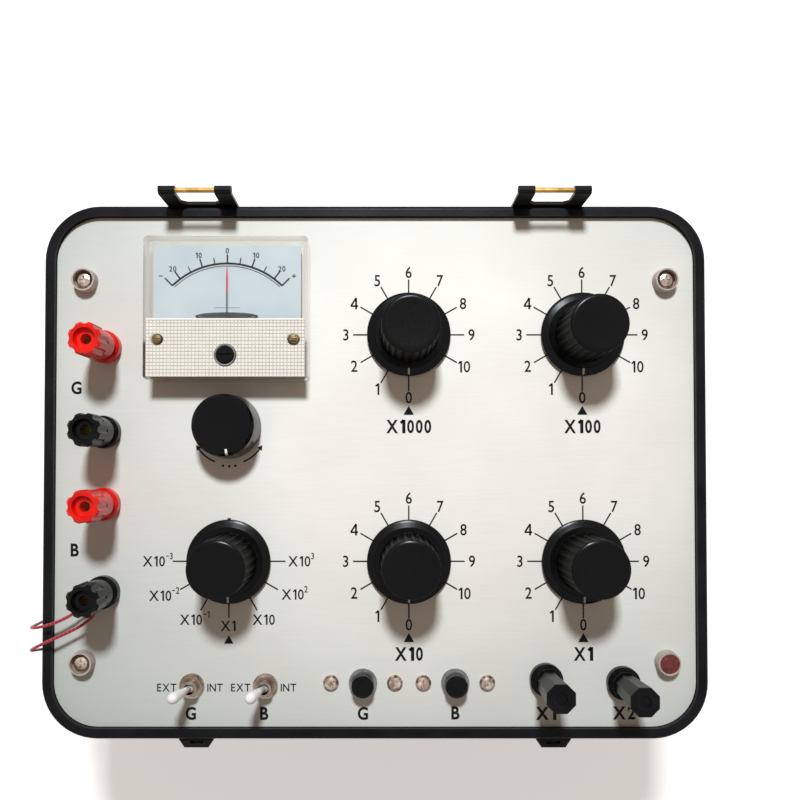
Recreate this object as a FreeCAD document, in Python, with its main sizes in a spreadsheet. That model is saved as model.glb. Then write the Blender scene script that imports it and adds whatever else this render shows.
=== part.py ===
import FreeCAD, Part

# A portable bridge for measuring resistance: a moulded case with its lid lifted off, and a bright
# instrument panel that carries a galvanometer, five stepped dials, a sensitivity control, two
# toggle switches, two press keys and six binding posts.
# The frame: +X to the right of the panel, +Y to the back of the case, +Z up from the table,
# with the origin under the middle of the case. All sizes are in millimetres.

import math
import os
import re

import Sketcher

# Driving dimensions, one cell of the sheet each.
SIZES = {
    # Case, rim and panel
    "rim_length": 264.0,
    "rim_width": 212.0,
    "rim_corner_radius": 22.0,
    "rim_height": 10.0,
    "rim_band": 4.2,
    "rim_edge_round": 1.6,
    "ledge_width": 5.0,
    "case_height": 92.0,
    "case_wall": 3.5,
    "case_base_round": 4.0,
    "foot_height": 6.0,
    "foot_wide": 18.0,
    "foot_spigot": 8.0,
    "foot_x": 108.0,
    "foot_y": 82.0,
    "panel_recess": 2.5,
    "panel_plate_thickness": 2.0,
    "panel_fit": 0.2,
    "seat_gap": 0.05,
    "running_fit": 0.05,
    "air_gap": 0.3,
    # Corner cups and panel screws
    "corner_x": 116.0,
    "corner_y": 76.0,
    "cup_base_wide": 9.8,
    "cup_top_wide": 9.0,
    "cup_height": 4.6,
    "cup_recess_wide": 7.8,
    "cup_floor": 1.2,
    "screw_shank": 3.5,
    "screw_head_wide": 6.8,
    "screw_head_high": 2.2,
    "screw_depth": 14.0,
    "screw_cross_long": 3.4,
    "screw_cross_wide": 0.8,
    "screw_cross_deep": 1.0,
    "corner_boss_wide": 11.0,
    "corner_rib": 3.0,
    # Hinge halves on the back wall and lid catches on the front wall
    "hinge_x": 69.0,
    "hinge_wide": 28.0,
    "hinge_leg": 6.4,
    "hinge_leaf_thick": 1.2,
    "hinge_rise": 14.6,
    "hinge_window_foot": 1.5,
    "hinge_drop": 24.0,
    "hinge_knuckle": 3.4,
    "hinge_pin_wide": 2.0,
    "catch_x": 71.0,
    "catch_wide": 15.0,
    "catch_nose": 9.6,
    "catch_out": 4.0,
    "catch_top_gap": 3.0,
    "catch_high": 9.0,
    "catch_tail": 17.0,
    "catch_plate": 1.3,
    "catch_slot_long": 5.6,
    "catch_slot_wide": 1.2,
    "rivet_head": 4.4,
    "rivet_head_high": 1.1,
    "rivet_shank": 2.4,
    "rivet_pitch": 8.0,
    "rivet_taper": 35.0,
    # Galvanometer
    "meter_x": -58.0,
    "meter_y": 63.5,
    "meter_wide": 64.0,
    "meter_deep": 56.0,
    "meter_high": 12.0,
    "meter_cover_wall": 2.0,
    "meter_corner": 1.6,
    "meter_barrel": 50.0,
    "meter_barrel_depth": 26.0,
    "meter_barrel_wall": 2.0,
    "meter_flange_high": 3.0,
    "meter_dial_level": 7.4,
    "meter_dial_thick": 0.8,
    "meter_window_low": 4.4,
    "meter_pivot_y": -12.8,
    "meter_needle_tip": 29.4,
    "meter_needle_tail": 6.0,
    "meter_needle_wide": 0.7,
    "meter_needle_thick": 0.4,
    "meter_zero_y": -18.6,
    "meter_zero_wide": 7.0,
    "meter_zero_high": 2.0,
    "meter_screw_x": 26.5,
    "meter_screw_y": -12.4,
    "meter_screw_wide": 4.2,
    "meter_magnet": 28.0,
    "meter_hub": 4.0,
    "meter_hub_deep": 2.0,
    "meter_movement_rise": 2.0,
    # Stepped dial switches
    "left_column_x": -58.2,
    "middle_column_x": 13.5,
    "right_column_x": 83.0,
    "upper_row_y": 54.5,
    "lower_row_y": -36.1,
    "switch_plate_wide": 46.0,
    "switch_plate_thick": 2.0,
    "switch_drum_wide": 30.0,
    "switch_drum_deep": 6.0,
    "switch_bushing": 9.8,
    "switch_bushing_rise": 2.8,
    "switch_gap_deep": 8.0,
    "switch_pillar": 3.0,
    "switch_pillar_radius": 21.0,
    "shaft_wide": 6.0,
    "contact_radius": 17.0,
    "contact_high": 2.0,
    "contact_long": 4.0,
    "contact_wide": 2.4,
    "wiper_wide": 3.0,
    "wiper_thick": 1.2,
    "wiper_reach": 18.6,
    "spool_wide": 9.0,
    "spool_core": 7.0,
    "spool_high": 12.0,
    "spool_flange": 1.0,
    "spool_radius": 15.5,
    # Fluted and skirted knobs
    "knob_gap": 0.8,
    "knob_skirt": 33.4,
    "knob_skirt_edge": 1.8,
    "knob_flare_high": 9.5,
    "knob_grip": 21.6,
    "knob_top": 20.4,
    "knob_high": 30.0,
    "knob_top_round": 1.0,
    "knob_flute_count": 18.0,
    "knob_flute_wide": 2.6,
    "knob_flute_deep": 0.7,
    "knob_cavity_wide": 27.0,
    "knob_cavity_deep": 3.0,
    "knob_bore_deep": 20.0,
    "switch_nut_wide": 13.0,
    "switch_nut_high": 2.0,
    # Sensitivity control
    "sense_x": -58.3,
    "sense_y": 17.6,
    "sense_knob": 25.6,
    "sense_knob_top": 24.0,
    "sense_knob_high": 16.0,
    "sense_body": 24.0,
    "sense_body_deep": 12.0,
    "sense_bushing": 7.8,
    # Toggle switches
    "toggle_left_x": -72.8,
    "toggle_right_x": -43.6,
    "toggle_y": -85.5,
    "toggle_bushing": 6.0,
    "toggle_bushing_rise": 6.5,
    "toggle_bore": 4.3,
    "toggle_body_long": 13.0,
    "toggle_body_wide": 9.0,
    "toggle_body_deep": 10.0,
    "toggle_nut": 9.2,
    "toggle_nut_high": 2.0,
    "toggle_washer": 10.0,
    "toggle_washer_high": 0.6,
    "toggle_pivot_rise": 3.5,
    "toggle_tilt": 12.0,
    "toggle_ball": 3.7,
    "toggle_neck": 2.2,
    "toggle_tip": 3.5,
    "toggle_long": 13.0,
    # Press keys
    "key_left_x": -4.8,
    "key_right_x": 31.9,
    "key_y": -84.2,
    "key_cap": 8.7,
    "key_rise": 8.4,
    "key_collar": 11.2,
    "key_collar_top": 10.2,
    "key_collar_high": 3.2,
    "key_sleeve": 9.9,
    "key_sleeve_deep": 4.0,
    "key_lip": 10.4,
    "key_lip_high": 1.0,
    "key_screw_pitch": 12.7,
    "key_screw_head": 6.2,
    "key_screw_high": 2.0,
    "key_screw_shank": 3.0,
    "key_screw_depth": 9.0,
    "key_bridge_drop": 13.0,
    "key_bridge_thick": 1.6,
    "key_bridge_wide": 8.0,
    "key_pillar": 6.4,
    # Binding posts
    "post_x": -108.0,
    "post_first_y": 49.4,
    "post_second_y": 15.4,
    "post_third_y": -13.2,
    "post_fourth_y": -48.1,
    "post_base": 13.0,
    "post_base_high": 5.0,
    "post_shoulder": 7.8,
    "post_cap_gap": 1.5,
    "post_sleeve": 11.4,
    "post_sleeve_top": 16.0,
    "post_head": 12.8,
    "post_high": 27.0,
    "post_lobe_count": 8.0,
    "post_groove": 3.4,
    "post_funnel": 8.4,
    "post_funnel_deep": 2.6,
    "post_socket": 4.1,
    "post_stud": 5.0,
    "post_stud_top": 13.0,
    "post_stud_drop": 14.0,
    "post_nut": 9.2,
    "post_nut_high": 3.0,
    "tall_left_x": 67.9,
    "tall_right_x": 98.4,
    "tall_left_y": -82.8,
    "tall_right_y": -84.0,
    "tall_base": 13.0,
    "tall_base_high": 4.0,
    "tall_neck": 10.6,
    "tall_neck_high": 2.6,
    "tall_foot": 9.6,
    "tall_head": 11.6,
    "tall_high": 31.0,
    "tall_dimple": 5.0,
    "tall_dimple_deep": 1.2,
    # Battery
    "battery_x": -25.0,
    "battery_y": 0.0,
    "cell_wide": 33.0,
    "cell_long": 60.0,
    "cell_gap": 1.0,
    "tray_wall": 2.0,
    "tray_high": 16.0,
    # Loose red thread
    "thread_wide": 1.2,
}

# Heights above the table, as text that the expressions read.
FLOOR = "foot_height"
CASE_TOP = "(foot_height + case_height)"
RIM_TOP = "(foot_height + case_height + rim_height)"
PANEL = "(foot_height + case_height + rim_height - panel_recess)"
UNDER_PANEL = f"({PANEL} - panel_plate_thickness)"

doc = FreeCAD.newDocument("ResistanceBridge")
sheet = doc.addObject("Spreadsheet::Sheet", "Sizes")
for row, (alias, amount) in enumerate(SIZES.items(), 1):
    sheet.set(f"A{row}", alias)
    sheet.set(f"B{row}", str(amount))
    sheet.setAlias(f"B{row}", alias)
doc.recompute()

nodes = {}


# Helpers for expressions, bodies and sketches


def bind(text):
    """The expression with every size's name pointing at its cell."""

    def cell(word):
        return f"Sizes.{word[0]}" if word[0] in SIZES else word[0]

    return re.sub(r"[a-z][a-z0-9_]*", cell, str(text))


def number(text):
    """What an expression comes to, as a plain number."""
    answer = sheet.evalExpression(bind(text))
    return float(getattr(answer, "Value", answer))


def place(thing, x="0", y="0", z="0"):
    """Binds where a thing stands."""
    for axis, text in zip("xyz", (x, y, z)):
        thing.setExpression(f"Placement.Base.{axis}", bind(text))


def node(thing, label):
    """Names a sub-part and lists it for writing."""
    thing.Label = label
    nodes[label] = thing
    return thing


def body_at(name, x="0", y="0", z="0"):
    body = doc.addObject("PartDesign::Body", name)
    place(body, x, y, z)
    return body


def origin_feature(body, role):
    return next(part for part in body.Origin.OriginFeatures if part.Role == role)


def sketch_on(body, role="XY_Plane", offset="0"):
    """A sketch on one of the body's own planes, moved along the plane's normal."""
    sketch = body.newObject("Sketcher::SketchObject", body.Name + "_sketch")
    sketch.AttachmentSupport = (origin_feature(body, role), [""])
    sketch.MapMode = "FlatFace"
    sketch.setExpression("AttachmentOffset.Base.z", bind(offset))
    return sketch


def hold(sketch, kind, geometry, point, text):
    """Fixes a point's distance from the sketch's origin along X or Y."""
    held = Sketcher.Constraint(kind, -1, 1, geometry, point, number(text))
    sketch.setExpression(f"Constraints[{sketch.addConstraint(held)}]", bind(text))


def hold_size(sketch, kind, geometry, text):
    """Fixes a circle's Diameter or an arc's Radius."""
    held = Sketcher.Constraint(kind, geometry, number(text))
    sketch.setExpression(f"Constraints[{sketch.addConstraint(held)}]", bind(text))


def outline(sketch, corners):
    """A closed outline of straight lines, with every corner held."""
    first = sketch.GeometryCount
    count = len(corners)
    spots = [FreeCAD.Vector(number(x), number(y), 0) for x, y in corners]
    for start, end in zip(spots, spots[1:] + spots[:1]):
        sketch.addGeometry(Part.LineSegment(start, end), False)
    for index, (x, y) in enumerate(corners):
        before = first + (index - 1) % count
        sketch.addConstraint(Sketcher.Constraint("Coincident", before, 2, first + index, 1))
        hold(sketch, "DistanceX", first + index, 1, x)
        hold(sketch, "DistanceY", first + index, 1, y)


def circle(sketch, x, y, diameter):
    middle = FreeCAD.Vector(number(x), number(y), 0)
    ring = Part.Circle(middle, FreeCAD.Vector(0, 0, 1), number(diameter) / 2)
    index = sketch.addGeometry(ring, False)
    hold(sketch, "DistanceX", index, 3, x)
    hold(sketch, "DistanceY", index, 3, y)
    hold_size(sketch, "Diameter", index, diameter)


def rectangle(sketch, length, width, x="0", y="0"):
    left, right = f"({x}) - ({length}) / 2", f"({x}) + ({length}) / 2"
    low, high = f"({y}) - ({width}) / 2", f"({y}) + ({width}) / 2"
    outline(sketch, [(left, low), (right, low), (right, high), (left, high)])


def rounded_rectangle(sketch, length, width, radius, x="0", y="0"):
    """A rectangle with four equal round corners, anticlockwise from the lower edge."""
    left, right = f"({x}) - ({length}) / 2", f"({x}) + ({length}) / 2"
    low, high = f"({y}) - ({width}) / 2", f"({y}) + ({width}) / 2"
    near, far = f"{left} + {radius}", f"{right} - ({radius})"
    lower, upper = f"{low} + {radius}", f"{high} - ({radius})"
    edges = [
        ((near, low), (far, low)),
        ((right, lower), (right, upper)),
        ((far, high), (near, high)),
        ((left, upper), (left, lower)),
    ]
    centres = [(far, lower), (far, upper), (near, upper), (near, lower)]
    first = sketch.GeometryCount
    normal = FreeCAD.Vector(0, 0, 1)
    for quarter, ((start, end), centre) in enumerate(zip(edges, centres)):
        ends = [FreeCAD.Vector(number(px), number(py), 0) for px, py in (start, end)]
        sketch.addGeometry(Part.LineSegment(*ends), False)
        middle = FreeCAD.Vector(number(centre[0]), number(centre[1]), 0)
        turn_from = (quarter - 1) * math.pi / 2
        ring = Part.Circle(middle, normal, number(radius))
        sketch.addGeometry(Part.ArcOfCircle(ring, turn_from, turn_from + math.pi / 2), False)
    for quarter, (start, end) in enumerate(edges):
        line, arc = first + 2 * quarter, first + 2 * quarter + 1
        after = first + (2 * quarter + 2) % 8
        for point, (px, py) in ((1, start), (2, end)):
            hold(sketch, "DistanceX", line, point, px)
            hold(sketch, "DistanceY", line, point, py)
        sketch.addConstraint(Sketcher.Constraint("Coincident", line, 2, arc, 1))
        sketch.addConstraint(Sketcher.Constraint("Coincident", arc, 2, after, 1))
        hold_size(sketch, "Radius", arc, radius)


# Helpers for solid features


def pad(body, sketch, length, down=False):
    """Raises a sketch along its plane's normal, or the other way."""
    feature = body.newObject("PartDesign::Pad", body.Name + "_pad")
    feature.Profile = sketch
    feature.setExpression("Length", bind(length))
    feature.Reversed = down
    doc.recompute()
    return feature


def pocket(body, sketch, depth, along_normal=False):
    """Cuts a sketch into the solid against its plane's normal, or along it."""
    before = body.Tip.Shape.Volume
    feature = body.newObject("PartDesign::Pocket", body.Name + "_pocket")
    feature.Profile = sketch
    feature.setExpression("Length", bind(depth))
    feature.Reversed = along_normal
    doc.recompute()
    if not feature.Shape.Volume < before - 1e-6:
        raise ValueError(f"a pocket in {body.Name} cuts nothing")
    return feature


def turn(body, profile):
    """Turns an outline of radius and height about the body's own Z axis."""
    sketch = sketch_on(body, "XZ_Plane")
    outline(sketch, profile)
    feature = body.newObject("PartDesign::Revolution", body.Name + "_turned")
    feature.Profile = sketch
    feature.ReferenceAxis = (sketch, ["V_Axis"])
    feature.Angle = 360
    doc.recompute()
    return feature


def repeat_round(body, feature, sketch, count):
    """Repeats a feature evenly all round the normal through its sketch's origin."""
    pattern = body.newObject("PartDesign::PolarPattern", body.Name + "_round")
    pattern.Originals = [feature]
    pattern.Axis = (sketch, ["N_Axis"])
    pattern.Angle = 360
    pattern.setExpression("Occurrences", bind(count))
    body.Tip = pattern
    doc.recompute()
    return pattern


def round_edges(body, chosen, radius, kind="Fillet"):
    """Rounds or bevels the edges of the body's last feature that a test chooses."""
    doc.recompute()
    last = body.Tip
    names = [f"Edge{index}" for index, edge in enumerate(last.Shape.Edges, 1) if chosen(edge)]
    if not names:
        raise ValueError(f"no edges to round on {body.Name}")
    feature = body.newObject(f"PartDesign::{kind}", body.Name + "_edges")
    feature.Base = (last, names)
    feature.setExpression("Radius" if kind == "Fillet" else "Size", bind(radius))
    doc.recompute()
    return feature


def lies_at(edge, height):
    """Whether a whole edge lies at one height in its body's own frame."""
    box = edge.BoundBox
    return abs(box.ZMin - height) < 1e-4 and abs(box.ZMax - height) < 1e-4


def copy_of(master, x, y, z, turned=0):
    """A linked copy of a master piece at its own spot, turned about its Z axis."""
    link = doc.addObject("App::Link", f"{master.Name}_copy")
    link.LinkedObject = master
    link.Placement.Rotation = FreeCAD.Rotation(FreeCAD.Vector(0, 0, 1), turned)
    place(link, x, y, z)
    return link


def gather(label, copies):
    """Copies that share one node, each a solid of its own."""
    together = doc.addObject("Part::Compound", label)
    together.Links = copies
    doc.recompute()
    return node(together, label)


def group(label, master, spots):
    """Equal pieces as one node."""
    return gather(label, [copy_of(master, x, y, z) for x, y, z in spots])


def corners_of(x, y, z):
    """The four spots that mirror one another about both middles."""
    return [(f"{across} * {x}", f"{along} * {y}", z) for across in (-1, 1) for along in (-1, 1)]


# Case, rim and panel


def make_case():
    """A deep tray with round corners, a boss under each panel screw and a rib that ties it."""
    body = body_at("case_shell", z=FLOOR)
    sketch = sketch_on(body)
    rounded_rectangle(sketch, "rim_length", "rim_width", "rim_corner_radius")
    pad(body, sketch, "case_height")
    round_edges(body, lambda edge: lies_at(edge, 0), "case_base_round")
    sketch = sketch_on(body, offset="case_height")
    rounded_rectangle(
        sketch,
        "rim_length - 2 * case_wall",
        "rim_width - 2 * case_wall",
        "(rim_corner_radius - case_wall)",
    )
    pocket(body, sketch, "case_height - case_wall")
    boss_height = f"{UNDER_PANEL} - foot_height - case_wall"
    for side in (-1, 1):
        for end in (-1, 1):
            sketch = sketch_on(body, offset="case_wall")
            middle = f"{side} * corner_x"
            circle(sketch, middle, f"{end} * corner_y", "corner_boss_wide")
            pad(body, sketch, boss_height)
            sketch = sketch_on(body, offset="case_wall")
            wall = f"(rim_length / 2 - case_wall - corner_x - corner_boss_wide / 2 + 2)"
            reach = f"{side} * (rim_length / 2 - case_wall - {wall} / 2 + 0.5)"
            rectangle(sketch, f"{wall} + 1", "corner_rib", reach, f"{end} * corner_y")
            pad(body, sketch, "case_height - case_wall")
    holes = sketch_on(body, offset=f"{UNDER_PANEL} - foot_height")
    for x, y, _ in corners_of("corner_x", "corner_y", "0"):
        circle(holes, x, y, "screw_shank + 2 * running_fit")
    pocket(body, holes, "screw_depth + 2")
    holes = sketch_on(body)
    for x, y, _ in corners_of("foot_x", "foot_y", "0"):
        circle(holes, x, y, "foot_spigot + 2 * running_fit")
    pocket(body, holes, "case_wall", along_normal=True)
    for facing, spots in ((1, front_rivets()), (-1, back_rivets())):
        holes = sketch_on(body, "XZ_Plane", f"{facing} * rim_width / 2")
        for x, z in spots:
            circle(holes, x, f"{z} - foot_height", "rivet_shank + 2 * running_fit")
        pocket(body, holes, "case_wall", along_normal=facing < 0)
    node(body, "case_shell")


def make_rim():
    """The moulded frame on the case: a raised band all round, and a ledge that carries the panel."""
    body = body_at("rim_moulding", z=CASE_TOP)
    sketch = sketch_on(body)
    rounded_rectangle(sketch, "rim_length", "rim_width", "rim_corner_radius")
    pad(body, sketch, "rim_height")
    round_edges(body, lambda edge: lies_at(edge, SIZES["rim_height"]), "rim_edge_round")
    sketch = sketch_on(body, offset="rim_height")
    rounded_rectangle(
        sketch,
        "rim_length - 2 * rim_band",
        "rim_width - 2 * rim_band",
        "(rim_corner_radius - rim_band)",
    )
    pocket(body, sketch, "panel_recess + panel_plate_thickness")
    sketch = sketch_on(body, offset="rim_height")
    rounded_rectangle(
        sketch,
        "rim_length - 2 * rim_band - 2 * ledge_width",
        "rim_width - 2 * rim_band - 2 * ledge_width",
        "(rim_corner_radius - rim_band - ledge_width)",
    )
    pocket(body, sketch, "rim_height")
    node(body, "rim_moulding")


def post_spots():
    """The four posts down the left side, from the back."""
    return [("post_x", f"post_{count}_y") for count in ("first", "second", "third", "fourth")]


def tall_spots():
    """The two tall posts for the unknown resistance."""
    return [("tall_left_x", "tall_left_y"), ("tall_right_x", "tall_right_y")]


def dial_spots():
    """Each stepped dial with its place: four decades and the ratio."""
    return {
        "x1000": ("middle_column_x", "upper_row_y"),
        "x100": ("right_column_x", "upper_row_y"),
        "x10": ("middle_column_x", "lower_row_y"),
        "x1": ("right_column_x", "lower_row_y"),
        "ratio": ("left_column_x", "lower_row_y"),
    }


def key_screw_spots():
    return [
        (f"{key} + {side} * key_screw_pitch", "key_y")
        for key in ("key_left_x", "key_right_x")
        for side in (-1, 1)
    ]


def make_panel():
    """The bright plate, with a hole for everything that passes through it."""
    body = body_at("panel_plate", z=UNDER_PANEL)
    sketch = sketch_on(body)
    rounded_rectangle(
        sketch,
        "rim_length - 2 * rim_band - 2 * panel_fit",
        "rim_width - 2 * rim_band - 2 * panel_fit",
        "(rim_corner_radius - rim_band - panel_fit)",
    )
    pad(body, sketch, "panel_plate_thickness")
    holes = sketch_on(body)
    for x, y, _ in corners_of("corner_x", "corner_y", "0"):
        circle(holes, x, y, "screw_shank + 2 * running_fit")
    for x, y in post_spots() + tall_spots():
        circle(holes, x, y, "post_shoulder + 2 * running_fit")
    for x, y in dial_spots().values():
        circle(holes, x, y, "switch_bushing + 2 * running_fit")
    for x, y in key_screw_spots():
        circle(holes, x, y, "key_screw_shank + 2 * running_fit")
    for x in ("key_left_x", "key_right_x"):
        circle(holes, x, "key_y", "key_sleeve + 2 * running_fit")
    for x in ("toggle_left_x", "toggle_right_x"):
        circle(holes, x, "toggle_y", "toggle_bushing + 2 * running_fit")
    circle(holes, "sense_x", "sense_y", "sense_bushing + 2 * running_fit")
    circle(holes, "meter_x", "meter_y", "meter_barrel + 2 * running_fit")
    pocket(body, holes, "panel_plate_thickness", along_normal=True)
    node(body, "panel_plate")


def make_cups():
    """Four small tapered cups on the panel, one round the head of each panel screw."""
    body = body_at("cup_master")
    turn(
        body,
        [
            ("screw_shank / 2 + running_fit", "0"),
            ("cup_base_wide / 2", "0"),
            ("cup_top_wide / 2", "cup_height"),
            ("cup_recess_wide / 2", "cup_height"),
            ("cup_recess_wide / 2", "cup_floor"),
            ("screw_shank / 2 + running_fit", "cup_floor"),
        ],
    )
    group("corner_cups", body, corners_of("corner_x", "corner_y", PANEL))


def cross_headed_screw(name, head, high, shank, depth):
    """A domed screw with a cross recess: its seat is at height 0 and its shank points down."""
    body = body_at(name)
    turn(
        body,
        [
            ("0", f"-({depth})"),
            (f"{shank} / 2", f"-({depth})"),
            (f"{shank} / 2", "0"),
            (f"{head} / 2", "0"),
            (f"{head} / 2", f"{high} * 0.45"),
            (f"{head} * 0.36", f"{high} * 0.86"),
            (f"{head} * 0.18", high),
            ("0", high),
        ],
    )
    for length, width in (
        ("screw_cross_long", "screw_cross_wide"),
        ("screw_cross_wide", "screw_cross_long"),
    ):
        sketch = sketch_on(body, offset=high)
        rectangle(sketch, length, width)
        pocket(body, sketch, "screw_cross_deep")
    return body


def make_panel_screws():
    body = cross_headed_screw(
        "panel_screw_master", "screw_head_wide", "screw_head_high", "screw_shank", "screw_depth"
    )
    group("panel_screws", body, corners_of("corner_x", "corner_y", f"{PANEL} + cup_floor"))


def make_seal():
    """Wax that fills the front right cup over the head of its screw."""
    low = "cup_floor + screw_head_high + seat_gap"
    body = body_at("seal_wax", "corner_x", "-corner_y", PANEL)
    turn(
        body,
        [
            ("0", low),
            ("cup_recess_wide / 2 - seat_gap", low),
            ("cup_recess_wide / 2 - seat_gap", "cup_height - 0.5"),
            ("cup_recess_wide / 4", "cup_height - 0.2"),
            ("0", "cup_height - 0.3"),
        ],
    )
    node(body, "seal_wax")


def make_feet():
    """Four round rubber feet, each pushed into the floor by its spigot."""
    body = body_at("foot_master")
    turn(
        body,
        [
            ("0", "0"),
            ("foot_wide / 2 - 2", "0"),
            ("foot_wide / 2 - 1", "1"),
            ("foot_wide / 2", "foot_height"),
            ("foot_spigot / 2", "foot_height"),
            ("foot_spigot / 2", "foot_height + case_wall"),
            ("0", "foot_height + case_wall"),
        ],
    )
    group("rubber_feet", body, corners_of("foot_x", "foot_y", "0"))


# Hinge halves and lid catches


def back_rivets():
    """Where the rivets of the hinge halves sit on the back wall, as X and height."""
    top = f"({CASE_TOP} - 4)"
    return [
        (f"{side} * hinge_x + {across} * rivet_pitch", f"{top} - {drop}")
        for side in (-1, 1)
        for across, drop in ((-1, 0), (1, 0), (0, 6))
    ]


def front_rivets():
    """Where the rivets of the lid catches sit on the front wall, as X and height."""
    low = f"({RIM_TOP} - catch_top_gap - catch_high - catch_tail + 3)"
    return [
        (f"{side} * catch_x", f"{low} + {up} * rivet_pitch") for side in (-1, 1) for up in (0, 1)
    ]


def make_hinges():
    """Two lift-off hinge halves: a leaf on the back wall with two legs that end in knuckles."""
    body = body_at("hinge_master")
    across, leg = "hinge_wide / 2", "(hinge_wide / 2 - hinge_leg)"
    sketch = sketch_on(body, "XZ_Plane")
    outline(
        sketch,
        [
            (f"-{across} + 3", "-hinge_drop"),
            (f"{across} - 3", "-hinge_drop"),
            (across, "-hinge_drop + 3"),
            (across, "hinge_rise"),
            (leg, "hinge_rise"),
            (leg, "hinge_window_foot + 2"),
            (f"{leg} - 2", "hinge_window_foot"),
            (f"2 - {leg}", "hinge_window_foot"),
            (f"-{leg}", "hinge_window_foot + 2"),
            (f"-{leg}", "hinge_rise"),
            (f"-{across}", "hinge_rise"),
            (f"-{across}", "-hinge_drop + 3"),
        ],
    )
    pad(body, sketch, "hinge_leaf_thick", down=True)
    for side in (-1, 1):
        middle = f"{side} * (hinge_wide / 2 - hinge_leg / 2)"
        sketch = sketch_on(body, "YZ_Plane", f"{middle} - hinge_leg / 2")
        circle(sketch, "hinge_knuckle / 2", "hinge_rise", "hinge_knuckle")
        pad(body, sketch, "hinge_leg")
    bore = sketch_on(body, "YZ_Plane", f"-{across}")
    circle(bore, "hinge_knuckle / 2", "hinge_rise", "hinge_pin_wide + 2 * running_fit")
    pocket(body, bore, "hinge_wide", along_normal=True)
    holes = sketch_on(body, "XZ_Plane")
    for x, z in back_rivets()[3:]:
        spot = f"{x} - hinge_x"
        circle(holes, spot, f"{z} - {RIM_TOP}", "rivet_shank + 2 * running_fit")
    pocket(body, holes, "hinge_leaf_thick")
    spots = [(f"{side} * hinge_x", "rim_width / 2", RIM_TOP) for side in (-1, 1)]
    group("hinge_leaves", body, spots)

    pin = body_at("pin_master")
    sketch = sketch_on(pin, "YZ_Plane", "-hinge_wide / 2 + 0.3")
    circle(sketch, "hinge_knuckle / 2", "hinge_rise", "hinge_pin_wide")
    pad(pin, sketch, "hinge_wide - 0.6")
    group("hinge_pins", pin, spots)


def make_catches():
    """Two keepers on the front wall for the lid's latches: a tapered loop over a riveted tail."""
    body = body_at("catch_master")
    sketch = sketch_on(body, offset="-catch_high")
    wide, nose = "catch_wide / 2", "catch_nose / 2"
    outline(
        sketch,
        [(f"-{wide}", "0"), (f"-{nose}", "-catch_out"), (nose, "-catch_out"), (wide, "0")],
    )
    pad(body, sketch, "catch_high")
    slot = sketch_on(body)
    rectangle(slot, "catch_slot_long", "catch_slot_wide", y="-catch_out / 2")
    pocket(body, slot, "catch_high")
    sketch = sketch_on(body, offset="-catch_high - catch_tail")
    rectangle(sketch, "catch_wide", "catch_plate", y="-catch_plate / 2")
    pad(body, sketch, "catch_tail")
    holes = sketch_on(body, "XZ_Plane")
    for x, z in front_rivets()[2:]:
        middle, height = f"{x} - catch_x", f"{z} - ({RIM_TOP} - catch_top_gap)"
        circle(holes, middle, height, "rivet_shank + 2 * running_fit")
    pocket(body, holes, "catch_plate", along_normal=True)
    spots = [
        (f"{side} * catch_x", "-rim_width / 2", f"{RIM_TOP} - catch_top_gap") for side in (-1, 1)
    ]
    group("lid_catches", body, spots)


def make_rivets():
    """Domed rivets through the hinge leaves and the catches into the walls."""
    copies = []
    for name, facing, plate, spots in (
        ("rivet_back", 1, "hinge_leaf_thick", back_rivets()),
        ("rivet_front", -1, "catch_plate", front_rivets()),
    ):
        body = body_at(name)
        sketch = sketch_on(body, "XZ_Plane")
        circle(sketch, "0", "0", "rivet_shank")
        pad(body, sketch, f"case_wall + {plate}", down=facing < 0)
        sketch = sketch_on(body, "XZ_Plane")
        circle(sketch, "0", "0", "rivet_head")
        head = pad(body, sketch, "rivet_head_high", down=facing > 0)
        head.setExpression("TaperAngle", bind("0 - rivet_taper"))
        doc.recompute()
        for x, z in spots:
            copies.append(copy_of(body, x, f"{facing} * (rim_width / 2 + {plate})", z))
    gather("case_rivets", copies)


# Galvanometer


def meter_body(name, z):
    return body_at(name, "meter_x", "meter_y", z)


def make_meter_base():
    """The moulded base: a flat flange on the panel and a round pot behind it."""
    body = meter_body("meter_base", PANEL)
    sketch = sketch_on(body)
    inside = "2 * (meter_cover_wall + panel_fit)"
    rounded_rectangle(sketch, f"meter_wide - {inside}", f"meter_deep - {inside}", "meter_corner")
    pad(body, sketch, "meter_flange_high")
    sketch = sketch_on(body)
    circle(sketch, "0", "0", "meter_barrel")
    pad(body, sketch, "meter_barrel_depth", down=True)
    sketch = sketch_on(body, offset="meter_flange_high")
    circle(sketch, "0", "0", "meter_barrel - 2 * meter_barrel_wall")
    pocket(body, sketch, "meter_flange_high + meter_barrel_depth - meter_barrel_wall")
    node(body, "meter_base")


def make_meter_cover():
    """The clear cover: a shallow box over the dial, with a thick apron below the window."""
    body = meter_body("meter_cover", PANEL)
    sketch = sketch_on(body)
    rounded_rectangle(sketch, "meter_wide", "meter_deep", "meter_corner")
    pad(body, sketch, "meter_high")
    hollow = sketch_on(body)
    inside = "2 * meter_cover_wall"
    rectangle(hollow, f"meter_wide - {inside}", f"meter_deep - {inside}")
    pocket(body, hollow, "meter_high - meter_cover_wall", along_normal=True)
    holes = sketch_on(body, offset="meter_high")
    circle(holes, "0", "meter_zero_y", "meter_zero_wide + 2 * running_fit")
    for side in (-1, 1):
        circle(holes, f"{side} * meter_screw_x", "meter_screw_y", "2.6")
    pocket(body, holes, "meter_cover_wall")
    node(body, "meter_cover")


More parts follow.
